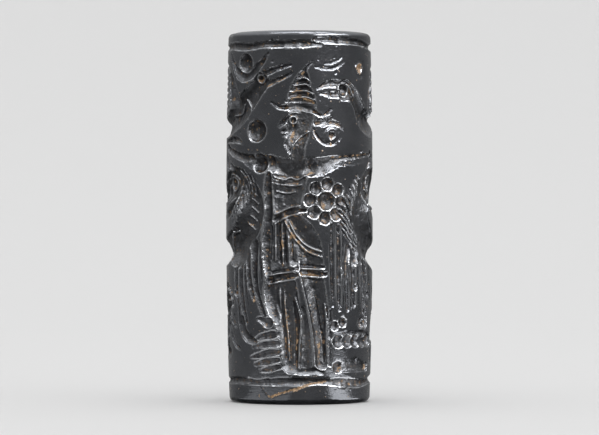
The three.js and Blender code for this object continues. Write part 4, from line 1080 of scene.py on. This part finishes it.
def lightTriangles(points):
    # small triangles on edges and fine cuts, large ones where the stone is smooth
    steps = stoneShape["steps"]
    roots = numpy.array([[0, 0, steps, steps, steps, 0], [steps, steps, 0, 0, 0, steps]])
    worst = strays(points, roots)
    flatness = stoneShape["flatness"] * mm
    while True:
        kept, large = [], roots
        for level in range(round(2 * math.log2(steps))):
            a, b, c, d = large.T[:4]
            split = worst[(b + d) // 2, (a + c) // 2 % steps] > flatness
            kept.append(large[~split])
            large = halves(large[split])
        kept = numpy.concatenate(kept + [large])
        if len(kept) < stoneShape["mostTriangles"]:
            print("carving held within", round(flatness / mm, 4), "mm by", len(kept), "triangles")
            return kept[:, 1::2] * steps + kept[:, ::2] % steps
        flatness *= stoneShape["givesWay"]


endFace = dict(rings=9, wear=0.05, wearTo=4, ground=0.01, dulled=0.11)
bore = dict(
    rings=10,
    crowding=1.6,  # more rings near the mouth
    mouthRounding=0.1,
    wander=0.03,
    wanderTurn=1.9,  # radians from ring to ring
    lean=(0.04, 0.8),  # how far the mouth is off its middle, and which way
    dents=(0.015, 5),
    lowerTurn=90,  # the lower mouth is the same one, turned by so many columns
    stainTo=1.9,
    stainFade=0.35,
)


def endRings(rim, mouth, dice):
    # rings over an end face and down to the middle of the bore: (radius, depth below the end)
    share = numpy.linspace(0, 1, endFace["rings"])[1:, None]
    sunk = endFace["wear"] * share ** endFace["wearTo"]
    sunk = sunk + endFace["ground"] * dice.uniform(0, 1, (len(share), 1))
    rings = list(zip(rim * (1 - share) + (mouth + bore["mouthRounding"]) * share, sunk))
    spin = 2 * numpy.pi * numpy.arange(len(rim)) / len(rim)
    for each, share in enumerate(numpy.linspace(0, 1, bore["rings"]) ** bore["crowding"]):
        below = bore["mouthRounding"] + share * (sealHeight / 2 - bore["mouthRounding"])
        inMouth = max(0, 1 - below / stoneShape["boreMouthDepth"])
        taper = 1 + (stoneShape["boreRadius"] / stoneShape["boreMouthRadius"] - 1) * (1 - inMouth)
        wander = bore["wander"] * min(1, each / 4) * numpy.sin(each * bore["wanderTurn"] + spin)
        rings.append((mouth * taper + wander, below))
    return rings


def makeMesh(skin, depth, dice):
    # one closed skin: up the carved side, over the upper face, down the bore and out over the lower face
    points = wrapSide(skin, depth)
    triangles = lightTriangles(points)
    columns = numpy.arange(0, skin.columns, 2)
    angle = 2 * numpy.pi * columns / skin.columns - numpy.pi
    rims = [numpy.hypot(*points[row, columns, :2].T) / mm for row in (-1, 0)]
    (lean, leanTurn), (dent, dents) = bore["lean"], bore["dents"]
    mouth = lean * numpy.sin(angle + leanTurn) + dent * numpy.sin(dents * angle)
    mouth = stoneShape["boreMouthRadius"] + mouth
    upper = [onStone(r, angle, sealHeight - s + 0 * r) for r, s in endRings(rims[0], mouth, dice)]
    lowerMouth = numpy.roll(mouth, bore["lowerTurn"])
    lower = [onStone(r, angle, s + 0 * r) for r, s in endRings(rims[1], lowerMouth, dice)]
    ends = numpy.array(upper + lower[-2::-1])
    sideCount = points.shape[0] * points.shape[1]
    rings = [(skin.rows * skin.columns + columns)[None]]
    rings.append(sideCount + numpy.arange(ends.shape[0] * len(columns)).reshape(ends.shape[:2]))
    rings = numpy.concatenate(rings + [columns[None]])
    here, onward = rings[:-1], rings[1:]
    hereNext, onwardNext = numpy.roll(here, -1, axis=1), numpy.roll(onward, -1, axis=1)
    pairs = (here, onward, onwardNext), (here, onwardNext, hereNext)
    faces = numpy.concatenate([triangles] + [numpy.stack(corners, -1).reshape(-1, 3) for corners in pairs])
    every = numpy.concatenate([points.reshape(-1, 3), ends.reshape(-1, 3)])
    used, faces = numpy.unique(faces, return_inverse=True)
    faces = faces.reshape(-1, 3)
    mesh = bpy.data.meshes.new("carvedStone")
    mesh.vertices.add(len(used))
    mesh.vertices.foreach_set("co", every[used].ravel())
    mesh.loops.add(faces.size)
    mesh.loops.foreach_set("vertex_index", faces.ravel())
    mesh.polygons.add(len(faces))
    mesh.polygons.foreach_set("loop_start", numpy.arange(0, faces.size, 3))
    mesh.polygons.foreach_set("use_smooth", numpy.ones(len(faces), dtype=bool))
    mesh.update(calc_edges=True)
    keepFineShading(mesh, points, used, sideCount)
    return mesh, used, sideCount


def keepFineShading(mesh, points, used, sideCount):
    # the light mesh is shaded as the finely cut side is
    alongTurn = numpy.roll(points, -1, axis=1) - numpy.roll(points, 1, axis=1)
    fine = numpy.cross(numpy.gradient(points, axis=0), alongTurn).reshape(-1, 3)
    facing = numpy.empty(len(used) * 3)
    mesh.vertices.foreach_get("normal", facing)
    facing = facing.reshape(-1, 3)
    rim = stoneShape["steps"] * 4
    inner = (used > rim) & (used < sideCount - rim)
    facing[inner] = fine[used[inner]]
    facing /= numpy.linalg.norm(facing, axis=1, keepdims=True)
    mesh.normals_split_custom_set_from_vertices([tuple(n) for n in facing])


def blur(skin, values, reach):
    # soft average over about reach millimetres, round the seam
    for axis, cell in ((1, skin.wide), (0, skin.tall)):
        steps = max(1, round(reach / cell))
        total, weight = values * 0, 0
        for step in range(-2 * steps, 2 * steps + 1):
            share = math.exp(-((step / steps) ** 2))
            if axis == 1:
                moved = numpy.roll(values, step, axis=1)
            else:
                moved = values[numpy.clip(numpy.arange(len(values)) + step, 0, len(values) - 1)]
            total, weight = total + moved * share, weight + share
        values = total / weight
    return values


def tellPoints(mesh, name, values):
    mesh.attributes.new(name, "FLOAT", "POINT").data.foreach_set("value", values.astype(numpy.float32))


# what the finish is told of each point: how far it lies below the stone round it, near and wide
hollows = {"hollow": (0.11, 0.04), "sunk": (0.45, 0.16)}  # name: (reach, depth that counts as full)
diceSeed = 11


def makeStone():
    dice = numpy.random.default_rng(diceSeed)
    skin = Skin(stoneShape["turn"], sealHeight, stoneShape["steps"])
    carveBorders(skin, dice)
    carveMaster(skin)
    carveLeftLion(skin)
    carveRightLion(skin)
    carveBirds(skin)
    carveGriffin(skin)
    carveAttendant(skin)
    carveHeads(skin)
    carveSigns(skin)
    carved = skin.depth()
    depth = wearSkin(skin, carved, dice)
    print("carving laid out, deepest", round(float(carved.max()), 3), "mm")
    mesh, used, sideCount = makeMesh(skin, depth, dice)
    maps = {"cutDepth": carved, "stain": skin.stain}
    for name, (reach, full) in hollows.items():
        maps[name] = numpy.clip((depth - blur(skin, depth, reach)) / full, -1, 1)
    for name, values in maps.items():
        ends = numpy.zeros(used.max() + 1 - sideCount) + (endFace["dulled"] if name == "cutDepth" else 0)
        tellPoints(mesh, name, numpy.concatenate([values.ravel(), ends])[used])
    places = numpy.empty(len(used) * 3)
    mesh.vertices.foreach_get("co", places)
    across = numpy.hypot(*places.reshape(-1, 3)[:, :2].T) / mm
    tellPoints(mesh, "inBore", numpy.clip((bore["stainTo"] - across) / bore["stainFade"], 0, 1))
    piece = bpy.data.objects.new("stone", mesh)
    bpy.context.scene.collection.objects.link(piece)
    print("stone wrapped", len(mesh.polygons), "triangles")
    return piece


stone = makeStone()


class Wire:
    # an output socket that can be used in sums

    def __init__(self, tree, socket):
        self.tree, self.socket = tree, socket

    def math(self, operation, *others, clamp=False):
        node = self.tree.nodes.new("ShaderNodeMath")
        node.operation, node.use_clamp = operation, clamp
        for place, value in zip(node.inputs, others):
            if isinstance(value, Wire):
                self.tree.links.new(value.socket, place)
            else:
                place.default_value = value
        return Wire(self.tree, node.outputs[0])

    def __add__(self, other):
        return self.math("ADD", self, other)

    def __radd__(self, other):
        return self.math("ADD", other, self)

    def __sub__(self, other):
        return self.math("SUBTRACT", self, other)

    def __rsub__(self, other):
        return self.math("SUBTRACT", other, self)

    def __mul__(self, other):
        return self.math("MULTIPLY", self, other)

    def __rmul__(self, other):
        return self.math("MULTIPLY", other, self)

    def held(self):
        return self.math("ADD", self, 0.0, clamp=True)


class Board:
    # the nodes of a material or of the world

    def __init__(self, tree):
        self.tree = tree

    def node(self, kind, settings=None, output=0, **sockets):
        # a socket is given by its name, or as i and its number
        made = self.tree.nodes.new(kind)
        for name, value in (settings or {}).items():
            setattr(made, name, value)
        for name, value in sockets.items():
            place = made.inputs[int(name[1:]) if name[0] == "i" and name[1:].isdigit() else name]
            if isinstance(value, Wire):
                self.tree.links.new(value.socket, place)
            else:
                place.default_value = value
        return Wire(self.tree, made.outputs[output])

    def between(self, value, low, high):
        return self.node("ShaderNodeMapRange", {"interpolation_type": "SMOOTHSTEP"}, **{
            "Value": value, "From Min": low, "From Max": high, "To Min": 0, "To Max": 1})


class Finish(Board):
    # a material, its nodes and its shader

    def __init__(self, name, **uniform):
        self.material = bpy.data.materials.new(name)
        self.material.use_nodes = True
        super().__init__(self.material.node_tree)
        self.shader = self.tree.nodes["Principled BSDF"]
        for socket, value in uniform.items():
            self.shader.inputs[socket].default_value = value

    def points(self, name):
        return self.node("ShaderNodeAttribute", {"attribute_name": name}, output="Fac")

    def noise(self, where, scale, detail=3, roughness=0.55):
        return self.node("ShaderNodeTexNoise", Vector=where, Scale=scale, Detail=detail, Roughness=roughness)

    def mix(self, share, *colours):
        first, second = [colour if isinstance(colour, Wire) else (*colour, 1) for colour in colours]
        return self.node("ShaderNodeMix", {"data_type": "RGBA"}, output=2, i0=share, i6=first, i7=second)

    def feed(self, **sockets):
        for name, value in sockets.items():
            self.tree.links.new(value.socket, self.shader.inputs[name.replace("_", " ")])


ironOre = dict(
    polished=(0.115, 0.12, 0.131),  # how the bare stone mirrors white
    clouded=(0.155, 0.16, 0.173),
    dulled=(0.1, 0.101, 0.105),
    rust=(0.30, 0.17, 0.075),
    paleRust=(0.68, 0.44, 0.23),
    dust=(0.17, 0.155, 0.14),
    paintedShade=(0.035, 0.035, 0.04),  # painted shade, laid into the bottoms of cuts and into narrow hollows
    rubbedSheen=(0.46, 0.47, 0.49),  # edges and ridges made lighter: partly polish from handling, partly a painted highlight
    metallic=0.85,
    fieldRoughness=0.16,
    cutRoughness=0.34,
    rustRoughness=0.68,
    bump=0.00004,
    chatter=0.00004,  # what the wheels left all over the cuts
    scratchLength=3.0,
    # sizes in millimetres
    grainSize=0.35,
    cloudSize=2.6,
    speckSize=0.14,
    lineSize=0.5,
    crumbSize=0.16,
    pitSize=0.55,
    chatterSize=0.13,
    # how much of one pattern goes into another
    cloudInRust=0.6,
    grainInStain=2.2,
    speckInStain=1.2,
    speckInCloud=0.4,
    grainRoughness=0.16,
    lineRoughness=0.12,
    dustRoughness=0.25,
    dustOnMetal=0.6,
    grainHeight=0.18,
    lineHeight=0.25,
    speckHeight=0.06,
    rustHeight=0.4,
    pitHeight=0.18,
)

# each share of the finish: (where it begins, where it is full, how much it then is)
shares = dict(
    inCut=(0.02, 0.2, 1),
    rustNarrow=(0.25, 0.8, 0.9),
    rustComing=(0.84, 1.0, 1),
    stained=(0.42, 0.8, 1),
    rustyBore=(0.35, 0.75, 0.8),
    dustNarrow=(-0.1, 0.5, 0.2),
    dustComing=(0.42, 0.66, 1),
    clouded=(0.35, 0.75, 1),
    dulled=(0.3, 0.7, 1),
    paintedShade=(0.05, 0.9, 0.36),
    narrowShade=(0.1, 0.9, 0.75),
    rubbedSheen=(0.12, 0.9, 0.85),
    crumbs=(0.68, 0.74, 0.85),
    crumbsSunk=(0.1, 0.5, 1),
    paleRust=(0.42, 0.62, 1),
    pits=(0.05, 0.22, 1),
    chatter=(0.01, 0.08, 1),
)


def finishStone():
    finish = Finish("polished iron ore", IOR=1.7)
    here = finish.node("ShaderNodeTexCoord", output="Object")
    depth, hollow, sunk = finish.points("cutDepth"), finish.points("hollow"), finish.points("sunk")
    stain, inBore = finish.points("stain"), finish.points("inBore")

    def share(value, name):
        low, high, most = shares[name]
        return finish.between(value, low, high) * most

    def pattern(name, where=here, **kind):
        return finish.noise(where, 1 / (ironOre[name] * mm), **kind)

    def around(values, name):
        return (values - 0.5) * ironOre[name]

    inCut = share(depth, "inCut")
    grain = pattern("grainSize", detail=4)
    cloud = pattern("cloudSize", detail=2)
    speck = pattern("speckSize", detail=2, roughness=0.7)
    stretch = (1, 1, ironOre["scratchLength"])
    stretched = finish.node("ShaderNodeMapping", Vector=here, Scale=stretch)
    lines = pattern("lineSize", stretched, detail=4, roughness=0.6)
    # rust keeps to the narrow bottoms of the cuts, and comes and goes along them
    rust = share(hollow, "rustNarrow") * share(grain + cloud * ironOre["cloudInRust"], "rustComing") * inCut
    stained = share(stain + around(grain, "grainInStain") + around(speck, "speckInStain"), "stained")
    crumbs = share(pattern("crumbSize", detail=1), "crumbs") * share(sunk, "crumbsSunk") * inCut
    for more in (stained, inBore * share(grain, "rustyBore"), crumbs):
        rust = rust.math("MAXIMUM", rust, more)
    dusty = share(hollow, "dustNarrow") * share(cloud, "dustComing") * inCut
    clouded = share(cloud + around(speck, "speckInCloud"), "clouded")
    metal = finish.mix(clouded, ironOre["polished"], ironOre["clouded"])
    metal = finish.mix(inCut * share(grain, "dulled"), metal, ironOre["dulled"])
    metal = finish.mix(dusty, metal, ironOre["dust"])
    # painted shade: points that lie below the stone around them, near and wide, are darkened towards near
    # black
    metal = finish.mix(share(sunk, "paintedShade"), metal, ironOre["paintedShade"])
    metal = finish.mix(share(hollow, "narrowShade"), metal, ironOre["paintedShade"])
    # convex edges lightened: partly real rubbing, partly a painted highlight
    metal = finish.mix(share(0 - hollow, "rubbedSheen"), metal, ironOre["rubbedSheen"])
    rusty = finish.mix(share(speck, "paleRust"), ironOre["rust"], ironOre["paleRust"])
    colour = finish.mix(rust, metal, rusty)
    rough = ironOre["fieldRoughness"] + (ironOre["cutRoughness"] - ironOre["fieldRoughness"]) * inCut
    rough = rough + around(grain, "grainRoughness") + around(lines, "lineRoughness")
    rough = rough + dusty * ironOre["dustRoughness"]
    rough = rough + rust * (ironOre["rustRoughness"] - ironOre["cutRoughness"])
    pits = finish.node("ShaderNodeTexVoronoi", Vector=here, Scale=1 / (ironOre["pitSize"] * mm))
    height = grain * ironOre["grainHeight"] + lines * ironOre["lineHeight"]
    height = height + speck * (rust * ironOre["rustHeight"] + ironOre["speckHeight"])
    height = height - (1 - share(pits, "pits")) * ironOre["pitHeight"]
    chatter = pattern("chatterSize", detail=2, roughness=0.6) * (ironOre["chatter"] / ironOre["bump"])
    height = height + chatter * share(depth, "chatter")
    bump = finish.node("ShaderNodeBump", Strength=1.0, Distance=ironOre["bump"], Height=height)
    metallic = ironOre["metallic"] * (1 - rust.math("MAXIMUM", rust, dusty * ironOre["dustOnMetal"]))
    finish.feed(Base_Color=colour, Roughness=rough.held(), Metallic=metallic.held(), Normal=bump)
    print("finish made", len(finish.tree.nodes), "nodes")
    return finish.material


stone.data.materials.clear()
stone.data.materials.append(finishStone())
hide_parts("seal")
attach(stone, "root")


studio = dict(
    floorRings=(0.0005, 0.0055, 0.16, 1.3),
    floorSides=120,
    underFloor=-0.0001,
    sweepStart=0.12,  # where the paper behind begins to rise
    sweepRadius=0.4,
    sweepWidth=0.6,
    sweepTop=0.7,
    sweepSteps=33,
    paper=(0.75, 0.75, 0.75),
    floorRoughness=0.75,
    toothScale=900,
    toothRoughness=0.1,
    toothHeight=0.00005,
    level=0.25,  # light from all around, which the smooth stone mirrors
    above=1.1,
    below=0.02,
    fadeBelow=(-0.45, -0.12),
    growAbove=(0.15, 0.75),
    seen=0.74,  # what is seen beyond the floor
)


def paperFinish(name, colour):
    finish = Finish(name, **{"Base Color": (*colour, 1)})
    here = finish.node("ShaderNodeTexCoord", output="Object")
    tooth = finish.noise(here, studio["toothScale"], detail=3)
    bump = finish.node("ShaderNodeBump", Strength=0.2, Distance=studio["toothHeight"], Height=tooth)
    finish.feed(Roughness=studio["floorRoughness"] + (tooth - 0.5) * studio["toothRoughness"], Normal=bump)
    return finish.material


def stageSheet(name, points, faces, material):
    mesh = bpy.data.meshes.new(name)
    mesh.from_pydata(points, [], faces)
    mesh.polygons.foreach_set("use_smooth", [True] * len(faces))
    mesh.materials.append(material)
    sheet = bpy.data.objects.new(name, mesh)
    sheet.visible_glossy = False  # so the polish stays dark
    bpy.context.scene.collection.objects.link(sheet)
    return sheet


def strip(lines, count, closed=False):
    # faces between neighbouring lines of points
    for line in range(lines - 1):
        for step in range(count if closed else count - 1):
            here, onward = line * count + step, line * count + (step + 1) % count
            yield here, onward, onward + count, here + count


def onFloor(radius, degrees, up=0):
    angle = math.radians(degrees)
    return radius * math.sin(angle), -radius * math.cos(angle), up


def setFloor(paper):
    rings, sides = studio["floorRings"], studio["floorSides"]
    points = [onFloor(radius, 360 / sides * side) for radius in rings for side in range(sides)]
    stageSheet("floor", points, list(strip(len(rings), sides, closed=True)), paper)


# glowing sheets just under the floor near the stone, seen only in its polish: a painted reflection of bright
# floor there, neither lamp nor floor: (from, to, reach in metres, strength)
floorGlow = {
    "right glow": (40, 72, 0.03, 2.7),
    "left glow": (-72, -12, 0.018, 0.75),
}
glowSteps = 17


def setFloorGlow():
    for name, (first, last, reach, strength) in floorGlow.items():
        # each sheet glows though it is no lamp: a painted reflection in the stone's polish
        glow = Finish(name, **{"Base Color": (0, 0, 0, 1), "Emission Color": (1, 1, 1, 1),
                               "Emission Strength": strength})
        points = [onFloor(radius, degrees, studio["underFloor"])
                  for radius in (studio["floorRings"][1], reach)
                  for degrees in numpy.linspace(first, last, glowSteps)]
        sheet = stageSheet(name, points, list(strip(2, glowSteps)), glow.material)
        sheet.visible_glossy = True
        sheet.visible_camera = sheet.visible_diffuse = sheet.visible_shadow = False


def setStage():
    paper = paperFinish("pale paper", studio["paper"])
    setFloor(paper)
    setFloorGlow()
    bend, start, foot = studio["sweepRadius"], studio["sweepStart"], studio["underFloor"]
    rise = [(start + bend * math.sin(a), foot + bend * (1 - math.cos(a)))
            for a in numpy.linspace(0, math.pi / 2, studio["sweepSteps"])]
    rise.append((start + bend, studio["sweepTop"]))
    side = studio["sweepWidth"] / 2
    points = [(x, y, z) for y, z in rise for x in (-side, side)]
    stageSheet("backdrop", points, list(strip(len(rise), 2)), paper)


lamps = {
    # name: (place in metres, width, height, watts); all but the last look at the middle of the stone
    "overhead": ((0.01, -0.10, 0.285), 0.40, 0.10, 0.6),
    "front glow": ((0.05, -0.20, 0.30), 0.10, 0.06, 0.16),
    "right window": ((0.243, -0.065, 0.21), 0.16, 0.14, 0.4),
    "low window": ((0.205, -0.172, 0.145), 0.22, 0.08, 0.64),
    "backdrop light": ((0.0, 0.16, 0.75), 0.60, 0.40, 0.8),
}
backdropMiddle = (0, 0.5, 0.1)


def setLights():
    middle = Vector((0, 0, sealHeight * mm / 2))
    for name, (place, width, height, watts) in lamps.items():
        light = bpy.data.lights.new(name, "AREA")
        light.shape, light.size, light.size_y, light.energy = "RECTANGLE", width, height, watts
        lamp = bpy.data.objects.new(name, light)
        lamp.location = place
        lamp.visible_diffuse = name == "backdrop light"  # the others only show in the polish
        target = middle if name != "backdrop light" else Vector(backdropMiddle)
        lamp.rotation_euler = (target - Vector(place)).to_track_quat("-Z", "Y").to_euler()
        bpy.context.scene.collection.objects.link(lamp)


def setWorld():
    # soft light that grows upwards and fades below the stone
    world = bpy.data.worlds.new("studio")
    bpy.context.scene.world = world
    world.use_nodes = True
    sky = Board(world.node_tree)
    toward = sky.node("ShaderNodeTexCoord", output="Generated")
    upward = sky.node("ShaderNodeSeparateXYZ", output="Z", Vector=toward)
    level = sky.between(upward, *studio["fadeBelow"]) * (studio["level"] - studio["below"])
    above = sky.between(upward, *studio["growAbove"]) * (studio["above"] - studio["level"])
    light = studio["below"] + level + above
    seen = sky.node("ShaderNodeLightPath", output="Is Camera Ray")
    strength = light * (1 - seen) + seen * studio["seen"]
    background = sky.tree.nodes["Background"]
    background.inputs["Color"].default_value = (1, 1, 1, 1)
    sky.tree.links.new(strength.socket, background.inputs["Strength"])


view = dict(lens=195, sensor=36, away=0.2165, nearest=0.01, farthest=3)


def setCamera():
    camera = bpy.data.cameras.new("camera")
    camera.lens, camera.sensor_width = view["lens"], view["sensor"]
    camera.clip_start, camera.clip_end = view["nearest"], view["farthest"]
    viewer = bpy.data.objects.new("camera", camera)
    viewer.location = (0, -view["away"], sealHeight * mm / 2)
    viewer.rotation_euler = (math.pi / 2, 0, 0)
    bpy.context.scene.collection.objects.link(viewer)
    bpy.context.scene.camera = viewer


setStage()
setLights()
setWorld()
setCamera()
bpy.context.scene.view_settings.view_transform = "Standard"
print("stage set")
